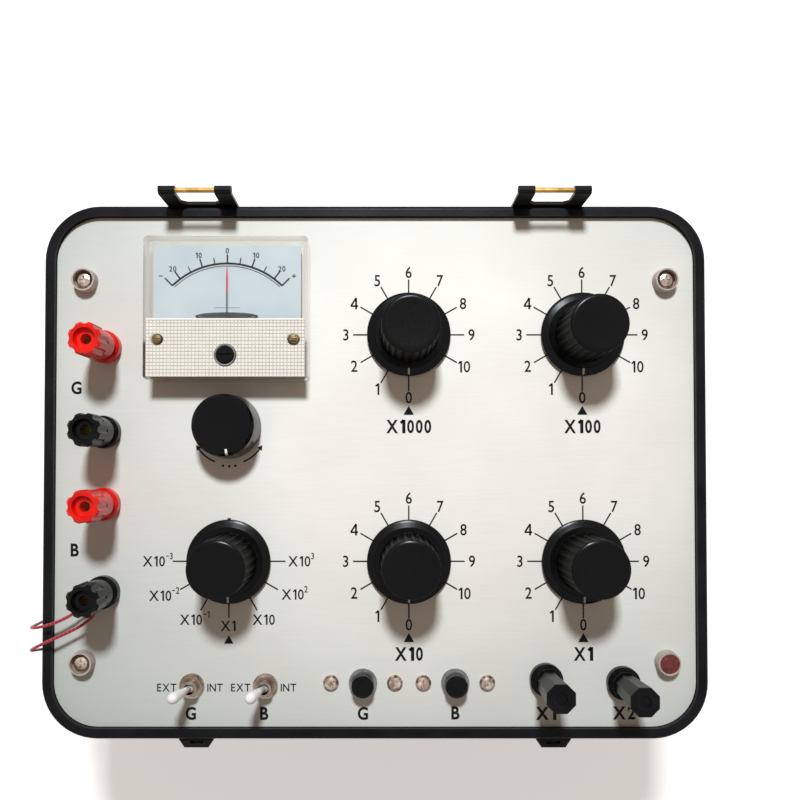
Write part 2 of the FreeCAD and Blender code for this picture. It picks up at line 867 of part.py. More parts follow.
def make_meter_dial():
    """The printed dial plate on two legs that stand on the base."""
    body = meter_body("meter_dial", PANEL)
    sketch = sketch_on(body, offset="meter_dial_level - meter_dial_thick")
    inside = "2 * (meter_cover_wall + 1)"
    low, high = "(0 - meter_window_low)", f"(meter_deep - {inside}) / 2"
    across = f"(meter_wide - {inside}) / 2"
    outline(sketch, [(f"-{across}", low), (across, low), (across, high), (f"-{across}", high)])
    pad(body, sketch, "meter_dial_thick")
    legs = sketch_on(body, offset="meter_flange_high")
    for side in (-1, 1):
        circle(legs, f"{side} * (meter_wide / 2 - 6)", f"{high} - 4", "4")
    pad(body, legs, "meter_dial_level - meter_dial_thick - meter_flange_high")
    node(body, "meter_dial")


def make_meter_movement():
    """The magnet and its pole pieces, standing in the pot under the pivot of the needle."""
    body = meter_body("meter_movement", f"{PANEL} - meter_barrel_depth + meter_barrel_wall")
    sketch = sketch_on(body)
    height = "(meter_barrel_depth - meter_barrel_wall + meter_movement_rise)"
    rectangle(sketch, "meter_magnet", "meter_magnet * 0.7", y="meter_pivot_y * 0.55")
    pad(body, sketch, height)
    bore = sketch_on(body, offset=height)
    circle(bore, "0", "meter_pivot_y", "meter_hub + 2 * running_fit")
    pocket(body, bore, "meter_movement_rise + meter_hub_deep + air_gap")
    node(body, "meter_movement")


def make_meter_needle():
    """The needle on its pivot: it swings just above the dial."""
    body = body_at("meter_needle", "meter_x", "meter_y + meter_pivot_y", PANEL)
    level = "meter_dial_level + 0.5"
    half = "meter_needle_wide / 2"
    sketch = sketch_on(body, offset=level)
    outline(
        sketch,
        [
            (f"-{half}", "-meter_needle_tail"),
            (half, "-meter_needle_tail"),
            (half, "meter_needle_tip - 4"),
            ("0.1", "meter_needle_tip"),
            ("-0.1", "meter_needle_tip"),
            (f"-{half}", "meter_needle_tip - 4"),
        ],
    )
    pad(body, sketch, "meter_needle_thick")
    hub = sketch_on(body, offset="0 - meter_hub_deep")
    circle(hub, "0", "0", "meter_hub")
    pad(body, hub, f"{level} + meter_hub_deep + 0.8")
    node(body, "meter_needle")


def make_meter_screws():
    """The zero adjuster in the middle of the apron, and the two screws that hold the cover."""
    body = body_at("meter_zero_screw", "meter_x", "meter_y + meter_zero_y", f"{PANEL} + meter_high")
    turn(
        body,
        [
            ("0", "-meter_cover_wall - 1"),
            ("meter_zero_wide / 2", "-meter_cover_wall - 1"),
            ("meter_zero_wide / 2", "meter_zero_high * 0.7"),
            ("meter_zero_wide / 2 - 0.6", "meter_zero_high"),
            ("0", "meter_zero_high"),
        ],
    )
    slot = sketch_on(body, offset="meter_zero_high")
    rectangle(slot, "meter_zero_wide * 0.8", "1")
    pocket(body, slot, "0.9")
    node(body, "meter_zero_screw")

    body = body_at("cover_screw_master")
    turn(
        body,
        [
            ("0", "meter_flange_high - meter_high"),
            ("1.2", "meter_flange_high - meter_high"),
            ("1.2", "0"),
            ("meter_screw_wide / 2", "0"),
            ("meter_screw_wide / 2 - 0.4", "0.9"),
            ("0", "1.1"),
        ],
    )
    slot = sketch_on(body, offset="1.1")
    rectangle(slot, "meter_screw_wide", "0.6")
    pocket(body, slot, "0.5")
    top = f"{PANEL} + meter_high"
    spots = [
        (f"meter_x + {side} * meter_screw_x", "meter_y + meter_screw_y", top) for side in (-1, 1)
    ]
    group("meter_screws", body, spots)


# Stepped dial switches

WAFER_TOP = "(0 - switch_plate_thick - switch_drum_deep - switch_gap_deep)"
STEP = 30


def make_switch(dial, x, y):
    """A rotary switch under the panel: top plate, detent drum, pillars and the contact wafer."""
    body = body_at(f"switch_{dial}", x, y, UNDER_PANEL)
    bore = "shaft_wide / 2 + running_fit"
    drum = "(0 - switch_plate_thick - switch_drum_deep)"
    turn(
        body,
        [
            (bore, drum),
            ("switch_drum_wide / 2", drum),
            ("switch_drum_wide / 2", "-switch_plate_thick"),
            ("switch_plate_wide / 2", "-switch_plate_thick"),
            ("switch_plate_wide / 2", "0"),
            ("switch_bushing / 2", "0"),
            ("switch_bushing / 2", "panel_plate_thickness + switch_bushing_rise"),
            (bore, "panel_plate_thickness + switch_bushing_rise"),
        ],
    )
    pillars = sketch_on(body, offset=WAFER_TOP)
    for side in (-1, 1):
        circle(pillars, f"{side} * switch_pillar_radius", "0", "switch_pillar")
    pad(body, pillars, "switch_drum_deep + switch_gap_deep")
    wafer = sketch_on(body, offset=WAFER_TOP)
    circle(wafer, "0", "0", "switch_plate_wide")
    circle(wafer, "0", "0", "shaft_wide + 1")
    pad(body, wafer, "switch_plate_thick", down=True)
    node(body, f"switch_{dial}")


def stops_of(dial):
    """The angles of a dial's stops, anticlockwise from the front, as the shaft is seen from above."""
    return range(-3, 4) if dial == "ratio" else range(0, -11, -1)


def make_contacts():
    """The brass contacts on the wafers, one under each stop of each dial."""
    body = body_at("contact_master")
    sketch = sketch_on(body)
    rectangle(sketch, "contact_wide", "contact_long", y="-contact_radius")
    pad(body, sketch, "contact_high")
    height = f"{UNDER_PANEL} + {WAFER_TOP}"
    copies = []
    for dial, (x, y) in dial_spots().items():
        for stop in stops_of(dial):
            copies.append(copy_of(body, x, y, height, stop * STEP))
    gather("switch_contacts", copies)


def make_spools():
    """The wound resistance spools, four round the underside of each wafer."""
    body = body_at("spool_master")
    turn(
        body,
        [
            ("0", "-spool_high"),
            ("spool_wide / 2", "-spool_high"),
            ("spool_wide / 2", "spool_flange - spool_high"),
            ("spool_core / 2", "spool_flange - spool_high"),
            ("spool_core / 2", "-spool_flange"),
            ("spool_wide / 2", "-spool_flange"),
            ("spool_wide / 2", "0"),
            ("0", "0"),
        ],
    )
    spots = []
    for x, y in dial_spots().values():
        for across, along in ((1, 0), (0, 1), (-1, 0), (0, -1)):
            height = f"{UNDER_PANEL} + {WAFER_TOP} - switch_plate_thick"
            spots.append((f"{x} + {across} * spool_radius", f"{y} + {along} * spool_radius", height))
    group("resistance_spools", body, spots)


def make_rotor(dial, x, y):
    """The shaft of a dial, with its hub and the wiper that touches the contacts."""
    body = body_at(f"rotor_{dial}", x, y, UNDER_PANEL)
    arm = f"({WAFER_TOP} + contact_high + air_gap)"
    shaft, hub = "shaft_wide / 2", "5"
    top = "panel_plate_thickness + knob_gap + knob_bore_deep"
    turn(
        body,
        [
            ("0", f"{WAFER_TOP} - switch_plate_thick - 2"),
            (shaft, f"{WAFER_TOP} - switch_plate_thick - 2"),
            (shaft, arm),
            (hub, arm),
            (hub, f"{arm} + 3"),
            (shaft, f"{arm} + 3"),
            (shaft, top),
            ("0", top),
        ],
    )
    sketch = sketch_on(body, offset=arm)
    rectangle(sketch, "wiper_wide", "wiper_reach", y="-wiper_reach / 2")
    pad(body, sketch, "wiper_thick")
    node(body, f"rotor_{dial}")


def make_switch_nuts():
    """The hexagonal nuts on the bushings of the switches, hidden by the knobs."""
    body = body_at("switch_nut_master")
    hexagon_ring(body, "switch_nut_wide", "switch_bushing + 2 * running_fit", "switch_nut_high")
    group("switch_nuts", body, [(x, y, PANEL) for x, y in dial_spots().values()])


def hexagon_ring(body, across, bore, height, offset="0", down=False):
    """A hexagonal nut, measured over its corners, on the body's own axis."""
    sketch = sketch_on(body, offset=offset)
    points = []
    for corner in range(6):
        turned = corner * 60
        points.append((f"{across} / 2 * cos({turned})", f"{across} / 2 * sin({turned})"))
    outline(sketch, points)
    circle(sketch, "0", "0", bore)
    pad(body, sketch, height, down)


# Knobs


def make_knob(dial, x, y):
    """A skirted knob: thin round skirt, hollow flare and a fluted, slightly tapered grip."""
    body = body_at(f"knob_{dial}", x, y, f"{PANEL} + knob_gap")
    bore = "shaft_wide / 2 + running_fit"
    turn(
        body,
        [
            (bore, "knob_cavity_deep"),
            ("knob_cavity_wide / 2", "knob_cavity_deep"),
            ("knob_cavity_wide / 2 + 1", "0"),
            ("knob_skirt / 2 - 0.3", "0"),
            ("knob_skirt / 2", "0.4"),
            ("knob_skirt / 2", "knob_skirt_edge"),
            ("knob_skirt / 2 - 0.8", "knob_skirt_edge + 0.6"),
            ("knob_grip / 2 + 3", "knob_flare_high * 0.5"),
            ("knob_grip / 2 + 1", "knob_flare_high * 0.75"),
            ("knob_grip / 2", "knob_flare_high"),
            ("knob_top / 2", "knob_high - knob_top_round"),
            ("knob_top / 2 - knob_top_round", "knob_high"),
            ("0", "knob_high"),
            ("0", "knob_bore_deep + 0.3"),
            (bore, "knob_bore_deep + 0.3"),
        ],
    )
    sketch = sketch_on(body, offset="knob_high")
    reach = "knob_grip / 2 - knob_flute_deep + knob_flute_wide / 2"
    circle(sketch, "0", reach, "knob_flute_wide")
    flute = pocket(body, sketch, "knob_high - knob_flare_high - 0.6")
    repeat_round(body, flute, sketch, "knob_flute_count")
    node(body, f"knob_{dial}")


def make_sensitivity():
    """The smooth knob under the meter, its shaft, and the potentiometer behind the panel."""
    bore = "shaft_wide / 2 + running_fit"
    body = body_at("knob_sensitivity", "sense_x", "sense_y", f"{PANEL} + knob_gap")
    turn(
        body,
        [
            (bore, "5"),
            ("sense_knob / 2 - 2.5", "5"),
            ("sense_knob / 2 - 2", "0"),
            ("sense_knob / 2", "0"),
            ("sense_knob / 2", "1"),
            ("sense_knob_top / 2 + 0.3", "sense_knob_high * 0.7"),
            ("sense_knob_top / 2", "sense_knob_high - 1.2"),
            ("sense_knob_top / 2 - 1", "sense_knob_high"),
            ("0", "sense_knob_high"),
            ("0", "sense_knob_high - 3"),
            (bore, "sense_knob_high - 3"),
        ],
    )
    node(body, "knob_sensitivity")

    body = body_at("sensitivity_shaft", "sense_x", "sense_y", UNDER_PANEL)
    top = "panel_plate_thickness + knob_gap + sense_knob_high - 3.3"
    turn(
        body,
        [
            ("0", "1.5 - sense_body_deep"),
            ("shaft_wide / 2 + 4", "1.5 - sense_body_deep"),
            ("shaft_wide / 2 + 4", "3 - sense_body_deep"),
            ("shaft_wide / 2", "3 - sense_body_deep"),
            ("shaft_wide / 2", top),
            ("0", top),
        ],
    )
    node(body, "sensitivity_shaft")

    body = body_at("sensitivity_pot", "sense_x", "sense_y", UNDER_PANEL)
    rise = "panel_plate_thickness + 4"
    turn(
        body,
        [
            ("0", "-sense_body_deep"),
            ("sense_body / 2", "-sense_body_deep"),
            ("sense_body / 2", "0"),
            ("sense_bushing / 2", "0"),
            ("sense_bushing / 2", rise),
            (bore, rise),
            (bore, "3.3 - sense_body_deep"),
            ("shaft_wide / 2 + 4.3", "3.3 - sense_body_deep"),
            ("shaft_wide / 2 + 4.3", "1.2 - sense_body_deep"),
            ("0", "1.2 - sense_body_deep"),
        ],
    )
    tags = sketch_on(body, offset="-sense_body_deep + 1")
    for across in (-1, 0, 1):
        rectangle(tags, "2.4", "7", f"{across} * 5", "-sense_body / 2 - 2.5")
    pad(body, tags, "0.8")
    node(body, "sensitivity_pot")


# Toggle switches


def toggle_spots(z):
    return [("toggle_left_x", "toggle_y", z), ("toggle_right_x", "toggle_y", z)]


def make_toggles():
    """Two small toggle switches: boxed bodies, bushings with nuts, and ball-ended levers."""
    body = body_at("toggle_master")
    sketch = sketch_on(body)
    rectangle(sketch, "toggle_body_long", "toggle_body_wide")
    pad(body, sketch, "toggle_body_deep", down=True)
    sketch = sketch_on(body)
    circle(sketch, "0", "0", "toggle_bushing")
    pad(body, sketch, "panel_plate_thickness + toggle_bushing_rise")
    bore = sketch_on(body, offset="panel_plate_thickness + toggle_bushing_rise")
    circle(bore, "0", "0", "toggle_bore")
    pocket(body, bore, "toggle_bushing_rise - toggle_pivot_rise + toggle_ball / 2 + 0.3")
    tags = sketch_on(body, offset="-toggle_body_deep")
    for across in (-1, 0, 1):
        rectangle(tags, "1", "2.2", f"{across} * 4.7")
    pad(body, tags, "4", down=True)
    group("toggle_bodies", body, toggle_spots(UNDER_PANEL))

    body = body_at("toggle_nut_master")
    bore = "toggle_bushing + 2 * running_fit"
    sketch = sketch_on(body)
    circle(sketch, "0", "0", "toggle_washer")
    circle(sketch, "0", "0", bore)
    pad(body, sketch, "toggle_washer_high")
    hexagon_ring(body, "toggle_nut", bore, "toggle_nut_high", "toggle_washer_high")
    group("toggle_nuts", body, toggle_spots(PANEL))

    for letter, spot in (("g", "toggle_left_x"), ("b", "toggle_right_x")):
        make_toggle_lever(letter, spot)


def make_toggle_lever(letter, x):
    """One lever: a ball in the bushing, a neck that widens, and a round tip. It rests to the left."""
    ball = doc.addObject("Part::Sphere", f"toggle_ball_{letter}")
    ball.setExpression("Radius", bind("toggle_ball / 2"))
    neck = doc.addObject("Part::Cone", f"toggle_neck_{letter}")
    neck.setExpression("Radius1", bind("toggle_neck / 2"))
    neck.setExpression("Radius2", bind("toggle_tip / 2"))
    neck.setExpression("Height", bind("toggle_long"))
    tip = doc.addObject("Part::Sphere", f"toggle_tip_{letter}")
    tip.setExpression("Radius", bind("toggle_tip / 2"))
    tip.setExpression("Placement.Base.z", bind("toggle_long"))
    lever = doc.addObject("Part::MultiFuse", f"toggle_lever_{letter}")
    lever.Shapes = [ball, neck, tip]
    lever.Placement.Rotation = FreeCAD.Rotation(FreeCAD.Vector(0, 1, 0), -SIZES["toggle_tilt"])
    place(lever, x, "toggle_y", f"{PANEL} + toggle_pivot_rise")
    node(lever, f"toggle_lever_{letter}")


# Press keys


def make_keys():
    """Two press keys: a collar in the panel, a cap that slides in it, and a contact bridge below."""
    body = body_at("key_collar_master")
    bore = "key_cap / 2 + running_fit"
    turn(
        body,
        [
            (bore, "-panel_plate_thickness - key_sleeve_deep"),
            ("key_sleeve / 2", "-panel_plate_thickness - key_sleeve_deep"),
            ("key_sleeve / 2", "0"),
            ("key_collar / 2", "0"),
            ("key_collar / 2", "1"),
            ("key_collar_top / 2", "key_collar_high"),
            (bore, "key_collar_high"),
        ],
    )
    spots = [("key_left_x", "key_y", PANEL), ("key_right_x", "key_y", PANEL)]
    group("key_collars", body, spots)

    low = "(0 - panel_plate_thickness - key_sleeve_deep - 0.3)"
    for letter, x in (("g", "key_left_x"), ("b", "key_right_x")):
        body = body_at(f"key_cap_{letter}", x, "key_y", PANEL)
        turn(
            body,
            [
                ("0", f"{low} - key_lip_high"),
                ("key_lip / 2", f"{low} - key_lip_high"),
                ("key_lip / 2", low),
                ("key_cap / 2", low),
                ("key_cap / 2", "key_rise - 0.8"),
                ("key_cap / 2 - 0.8", "key_rise - 0.1"),
                ("0", "key_rise"),
            ],
        )
        node(body, f"key_cap_{letter}")

    body = body_at("bridge_master")
    sketch = sketch_on(body, offset="-key_bridge_drop")
    rounded_rectangle(
        sketch, "2 * key_screw_pitch + key_bridge_wide", "key_bridge_wide", "(key_bridge_wide / 2.5)"
    )
    pad(body, sketch, "key_bridge_thick", down=True)
    pillars = sketch_on(body, offset="-key_bridge_drop")
    for side in (-1, 1):
        circle(pillars, f"{side} * key_screw_pitch", "0", "key_pillar")
    pad(body, pillars, "key_bridge_drop")
    contact = sketch_on(body, offset="-key_bridge_drop")
    circle(contact, "0", "0", "4")
    pad(body, contact, "1")
    holes = sketch_on(body)
    for side in (-1, 1):
        circle(holes, f"{side} * key_screw_pitch", "0", "key_screw_shank + 2 * running_fit")
    pocket(body, holes, "key_bridge_drop - 1")
    spots = [(x, y, UNDER_PANEL) for x, y, _ in spots]
    group("key_bridges", body, spots)

    body = cross_headed_screw(
        "key_screw_master", "key_screw_head", "key_screw_high", "key_screw_shank", "key_screw_depth"
    )
    group("key_screws", body, [(x, y, PANEL) for x, y in key_screw_spots()])


# Binding posts


def make_post_bases():
    """The insulating bases of the posts, each with a shoulder through the panel."""
    body = body_at("post_base_master")
    bore = "post_stud / 2 + running_fit"
    turn(
        body,
        [
            (bore, "-panel_plate_thickness"),
            ("post_shoulder / 2", "-panel_plate_thickness"),
            ("post_shoulder / 2", "0"),
            ("post_base / 2", "0"),
            ("post_base / 2", "post_base_high - 1.2"),
            ("post_base / 2 - 0.8", "post_base_high"),
            (bore, "post_base_high"),
        ],
    )
    first, second, third, fourth = [(x, y, PANEL) for x, y in post_spots()]
    group("post_bases_red", body, [first, third])
    tall = body_at("tall_base_master")
    turn(
        tall,
        [
            (bore, "-panel_plate_thickness"),
            ("post_shoulder / 2", "-panel_plate_thickness"),
            ("post_shoulder / 2", "0"),
            ("tall_base / 2", "0"),
            ("tall_base / 2", "tall_base_high - 1"),
            ("tall_base / 2 - 0.8", "tall_base_high"),
            ("tall_neck / 2", "tall_base_high"),
            ("tall_neck / 2", "tall_base_high + tall_neck_high"),
            (bore, "tall_base_high + tall_neck_high"),
        ],
    )
    copies = [copy_of(body, *second), copy_of(body, *fourth)]
    copies += [copy_of(tall, x, y, PANEL) for x, y in tall_spots()]
    gather("post_bases_black", copies)


def make_studs():
    """The threaded studs that the posts screw on, each with its nut under the panel."""
    body = body_at("stud_master")
    turn(
        body,
        [
            ("0", "-post_stud_drop"),
            ("post_stud / 2", "-post_stud_drop"),
            ("post_stud / 2", "post_stud_top"),
            ("0", "post_stud_top"),
        ],
    )
    nut_top = "(0 - panel_plate_thickness)"
    sketch = sketch_on(body, offset=nut_top)
    points = []
    for corner in range(6):
        turned = corner * 60
        points.append((f"post_nut / 2 * cos({turned})", f"post_nut / 2 * sin({turned})"))
    outline(sketch, points)
    pad(body, sketch, "post_nut_high", down=True)
    group("post_studs", body, [(x, y, PANEL) for x, y in post_spots() + tall_spots()])


def make_post_cap(name, x, y):
    """A lobed cap: round sleeve below, eight-lobed head above, and a funnel into the socket."""
    low = "post_base_high + post_cap_gap"
    body = body_at(name, x, y, PANEL)
    socket, bore = "post_socket / 2", "post_stud / 2 + running_fit"
    turn(
        body,
        [
            (bore, low),
            ("post_sleeve / 2 - 0.6", low),
            ("post_sleeve / 2", f"{low} + 0.8"),
            ("post_sleeve / 2", "post_sleeve_top - 0.8"),
            ("post_head / 2", "post_sleeve_top"),
            ("post_head / 2", "post_high - 0.8"),
            ("post_head / 2 - 0.8", "post_high"),
            ("post_funnel / 2", "post_high"),
            ("post_funnel / 2 - 0.8", "post_high - post_funnel_deep"),
            (socket, "post_high - post_funnel_deep"),
            (socket, "post_stud_top + air_gap"),
            (bore, "post_stud_top + air_gap"),
        ],
    )
    sketch = sketch_on(body, offset="post_high")
    circle(sketch, "0", "post_head / 2 + post_groove * 0.22", "post_groove")
    groove = pocket(body, sketch, "post_high - post_sleeve_top + 1")
    repeat_round(body, groove, sketch, "post_lobe_count")
    node(body, name)


def make_tall_cap(name, x, y):
    """An eight-sided cap that widens to its flat top."""
    low = "(tall_base_high + tall_neck_high + post_cap_gap)"
    body = body_at(name, x, y, PANEL)
    sides = 8

    def ring(height, across):
        sketch = sketch_on(body, offset=height)
        points = []
        for corner in range(sides):
            turned = (corner + 0.5) * 360 / sides
            points.append((f"{across} / 2 * cos({turned})", f"{across} / 2 * sin({turned})"))
        outline(sketch, points)
        return sketch

    loft = body.newObject("PartDesign::AdditiveLoft", body.Name + "_loft")
    loft.Profile = ring(low, "tall_foot")
    loft.Sections = [ring("tall_high", "tall_head")]
    loft.Ruled = True
    doc.recompute()
    bore = sketch_on(body, offset=low)
    circle(bore, "0", "0", "post_stud + 2 * running_fit")
    pocket(body, bore, f"post_stud_top + air_gap - {low}", along_normal=True)
    dimple = sketch_on(body, offset="tall_high")
    circle(dimple, "0", "0", "tall_dimple")
    pocket(body, dimple, "tall_dimple_deep")
    node(body, name)


# Battery


def make_battery():
    """A tray on the floor of the case with three cells lying side by side."""
    pitch = "(cell_wide + cell_gap)"
    body = body_at("battery_tray", "battery_x", "battery_y", "foot_height + case_wall")
    sketch = sketch_on(body)
    inner_long, inner_wide = f"3 * {pitch}", "(cell_long + 4)"
    rectangle(sketch, f"{inner_long} + 2 * tray_wall", f"{inner_wide} + 2 * tray_wall")
    pad(body, sketch, "tray_high")
    sketch = sketch_on(body, offset="tray_high")
    rectangle(sketch, inner_long, inner_wide)
    pocket(body, sketch, "tray_high - tray_wall")
    node(body, "battery_tray")

    body = body_at("cell_master")
    sketch = sketch_on(body, "XZ_Plane", "-cell_long / 2")
    circle(sketch, "0", "0", "cell_wide")
    pad(body, sketch, "cell_long")
    sketch = sketch_on(body, "XZ_Plane", "-cell_long / 2")
    circle(sketch, "0", "0", "cell_wide / 3")
    pad(body, sketch, "1.5", down=True)
    height = "foot_height + case_wall + tray_wall + cell_wide / 2 + 0.2"
    spots = [(f"battery_x + {across} * {pitch}", "battery_y", height) for across in (-1, 0, 1)]
    group("battery_cells", body, spots)


# Loose red thread: a limp loop from the last post on the left, over the rim and down the wall.

THREAD_ROUTE = [
    (-106.9, -51.3, 111.2),
    (-109.6, -56.4, 111.5),
    (-114.9, -60.7, 112.0),
    (-121.0, -63.7, 112.4),
    (-127.4, -66.4, 113.2),
    (-133.2, -69.2, 112.4),
    (-136.8, -71.3, 107.0),
    (-137.6, -73.0, 97.0),
    (-137.2, -75.0, 83.0),
    (-137.5, -76.6, 67.0),
    (-138.0, -77.2, 51.5),
    (-137.9, -76.4, 40.4),
    (-137.6, -73.0, 33.4),
    (-137.5, -68.4, 31.4),
    (-137.8, -63.9, 33.8),
    (-138.0, -61.0, 41.0),
    (-137.7, -60.6, 52.0),
    (-137.2, -61.4, 67.0),
    (-137.5, -62.4, 83.0),
    (-137.8, -62.6, 97.0),
    (-136.8, -62.2, 107.0),
    (-133.0, -61.4, 112.6),
    (-127.2, -60.2, 113.4),
    (-121.4, -57.9, 112.7),
    (-116.0, -54.6, 112.1),
    (-111.6, -51.0, 111.2),
]


def rounded_path(points):
    """Straight runs joined by tangent arcs, each as large as its two runs allow, and the radii."""
    spots = [FreeCAD.Vector(*point) for point in points]
    edges, radii = [], []
    start = spots[0]
    for before, here, after in zip(spots, spots[1:], spots[2:]):
        back, ahead = (before - here), (after - here)
        shorter = min(back.Length, ahead.Length)
        back.normalize()
        ahead.normalize()
        bend = math.pi - back.getAngle(ahead)
        cut = 0.45 * shorter
        radius = cut / math.tan(bend / 2)
        into, out = here + back * cut, here + ahead * cut
        inward = (back + ahead).normalize()
        centre = here + inward * math.hypot(cut, radius)
        middle = centre - inward * radius
        edges.append(Part.LineSegment(start, into).toShape())
        edges.append(Part.Arc(into, middle, out).toShape())
        radii.append(radius)
        start = out
    edges.append(Part.LineSegment(start, spots[-1]).toShape())
    return Part.Wire(edges), radii


def make_thread():
    """The thread as a plain tube along its route, with its volume compared with its length."""
    path, radii = rounded_path(THREAD_ROUTE)
    wide = number("thread_wide")
    heading = FreeCAD.Vector(*THREAD_ROUTE[1]) - FreeCAD.Vector(*THREAD_ROUTE[0])
    ring = Part.Wire([Part.Circle(FreeCAD.Vector(*THREAD_ROUTE[0]), heading, wide / 2).toShape()])
    tube = path.makePipeShell([ring], True, False)
    expected = math.pi * wide * wide / 4 * path.Length
    if abs(tube.Volume - expected) > 0.01 * expected:
        raise ValueError("the thread's tube doesn't have its section times its length")
    print(f"thread: {path.Length:.1f} mm long, least radius {min(radii):.1f} mm")
    print("thread radii:", " ".join(f"{radius:.1f}" for radius in radii))
    thread = doc.addObject("Part::Feature", "red_thread")
    thread.Shape = tube
    thread.Placement = FreeCAD.Placement()
    node(thread, "red_thread")


# The whole instrument

make_case()
make_rim()
make_panel()
make_cups()
make_panel_screws()
make_seal()
make_feet()
make_hinges()
make_catches()
make_rivets()
make_meter_base()
make_meter_cover()
make_meter_dial()
make_meter_movement()
make_meter_needle()
make_meter_screws()
for dial_name, (dial_x, dial_y) in dial_spots().items():
    make_switch(dial_name, dial_x, dial_y)
    make_rotor(dial_name, dial_x, dial_y)
    make_knob(dial_name, dial_x, dial_y)
make_contacts()
make_spools()
make_switch_nuts()
make_sensitivity()
make_toggles()
make_keys()
make_post_bases()
make_studs()
for count, (post_x, post_y) in enumerate(post_spots(), 1):
    make_post_cap(f"post_cap_{count}", post_x, post_y)
for count, (post_x, post_y) in enumerate(tall_spots(), 1):
    make_tall_cap(f"post_cap_x{count}", post_x, post_y)
make_battery()
make_thread()

# Every object and every sub-part is checked before anything is written.

doc.recompute()
for thing in doc.Objects:
    if "Invalid" in thing.State or "Error" in thing.State:
        raise ValueError(f"{thing.Label} failed: {thing.State}")
os.makedirs("parts", exist_ok=True)
shapes = {label: Part.getShape(thing) for label, thing in nodes.items()}
for label, shape in shapes.items():
    if shape.isNull() or not shape.isValid():
        raise ValueError(f"{label} isn't a valid solid")
for label, shape in shapes.items():
    shape.exportStep(f"parts/{label}.step")
print(f"{len(shapes)} sub-parts, {sum(len(shape.Solids) for shape in shapes.values())} solids")
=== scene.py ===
# %% [markdown]
# # A portable resistance bridge, dressed for its portrait
# The instrument is a black moulded case with a bright panel, and on the panel are a meter, stepped
# dials, switches, keys and binding posts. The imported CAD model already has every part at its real
# size, so this file keeps those parts, gives each one the finish of its real material, and adds what
# is only printed, painted or moulded thinly on top of them.

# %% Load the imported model
import math

import bpy
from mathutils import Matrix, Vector


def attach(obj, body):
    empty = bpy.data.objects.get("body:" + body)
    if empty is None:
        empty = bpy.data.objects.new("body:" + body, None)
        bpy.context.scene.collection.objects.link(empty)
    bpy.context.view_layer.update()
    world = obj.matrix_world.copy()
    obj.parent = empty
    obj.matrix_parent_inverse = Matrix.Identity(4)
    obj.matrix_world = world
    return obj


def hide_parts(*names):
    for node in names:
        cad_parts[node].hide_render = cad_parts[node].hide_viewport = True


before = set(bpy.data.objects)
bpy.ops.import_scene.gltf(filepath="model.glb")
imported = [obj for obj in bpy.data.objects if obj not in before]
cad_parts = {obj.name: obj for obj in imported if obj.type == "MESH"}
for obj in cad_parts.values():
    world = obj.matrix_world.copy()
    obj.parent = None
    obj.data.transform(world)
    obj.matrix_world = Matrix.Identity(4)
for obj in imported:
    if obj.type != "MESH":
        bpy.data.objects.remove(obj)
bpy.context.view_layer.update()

# %% [markdown]
# ## The camera
# The photograph looks straight down on the panel from about 36 cm, tilted a little over one degree
# towards the hinges. A small shift puts the instrument where the picture has it, below the middle.
# A longer lens from further away would hide how the tall knobs lean outward, so the real distance
# is kept.

# %% Camera at the photograph's angle
PANEL = 0.1055
view = bpy.data.cameras.new("bench_camera")
view.lens = 40.5
view.sensor_width = 36.0
view.shift_x = 0.025
view.shift_y = 0.056
view.clip_start = 0.01
camera = bpy.data.objects.new("bench_camera", view)
bpy.context.collection.objects.link(camera)
camera.location = (0.0020, 0.0024, 0.4655)
camera.rotation_euler = (math.radians(1.27), 0.0, 0.0)
bpy.context.scene.camera = camera
bpy.context.scene.view_settings.view_transform = "Standard"
print("camera height over the panel:", round(camera.location.z - PANEL, 3), "m")

# %% [markdown]
# ## One way to write a colour and one way to add a node
# Colours are written as sRGB hex values, as a colour picker shows them, and the shader wants them
# linear. One function turns them. One more adds a node with its settings, numbers and links, so
# that every material below reads as a short list.

# %% Colour and node helpers
def linear(hex_code):
    """An sRGB hex colour as linear red, green and blue, with a full alpha."""
    parts = [int(hex_code[start:start + 2], 16) / 255 for start in (1, 3, 5)]
    return [p / 12.92 if p <= 0.04045 else ((p + 0.055) / 1.055) ** 2.4 for p in parts] + [1.0]


def add(tree, kind, sockets=None, **settings):
    """Adds a node, sets its properties, and fills its sockets with numbers or links."""
    node = tree.nodes.new("ShaderNode" + kind)
    for name, value in settings.items():
        setattr(node, name, value)
    for socket, value in (sockets or {}).items():
        if isinstance(value, bpy.types.NodeSocket):
            tree.links.new(value, node.inputs[socket])
        else:
            node.inputs[socket].default_value = value
    return node


print("red plastic in linear light:", [round(part, 3) for part in linear("#E3221A")])

# %% [markdown]
# ## What every finish here has in common
# Moulded plastic, plated screws and brushed sheet all vary slowly in shade over centimetres, have a
# fine grain that breaks up the gloss, and are rubbed paler or darker at their edges. A recipe takes
# those sizes in millimetres. The rubbed edge is found by comparing the surface's direction with the
# direction it would have if its corners were rounded off.

# %% The recipe for a finish
def start_finish(name):
    """An empty material and its node tree."""
    finish = bpy.data.materials.new(name)
    finish.use_nodes = True
    finish.node_tree.nodes.clear()
    return finish, finish.node_tree


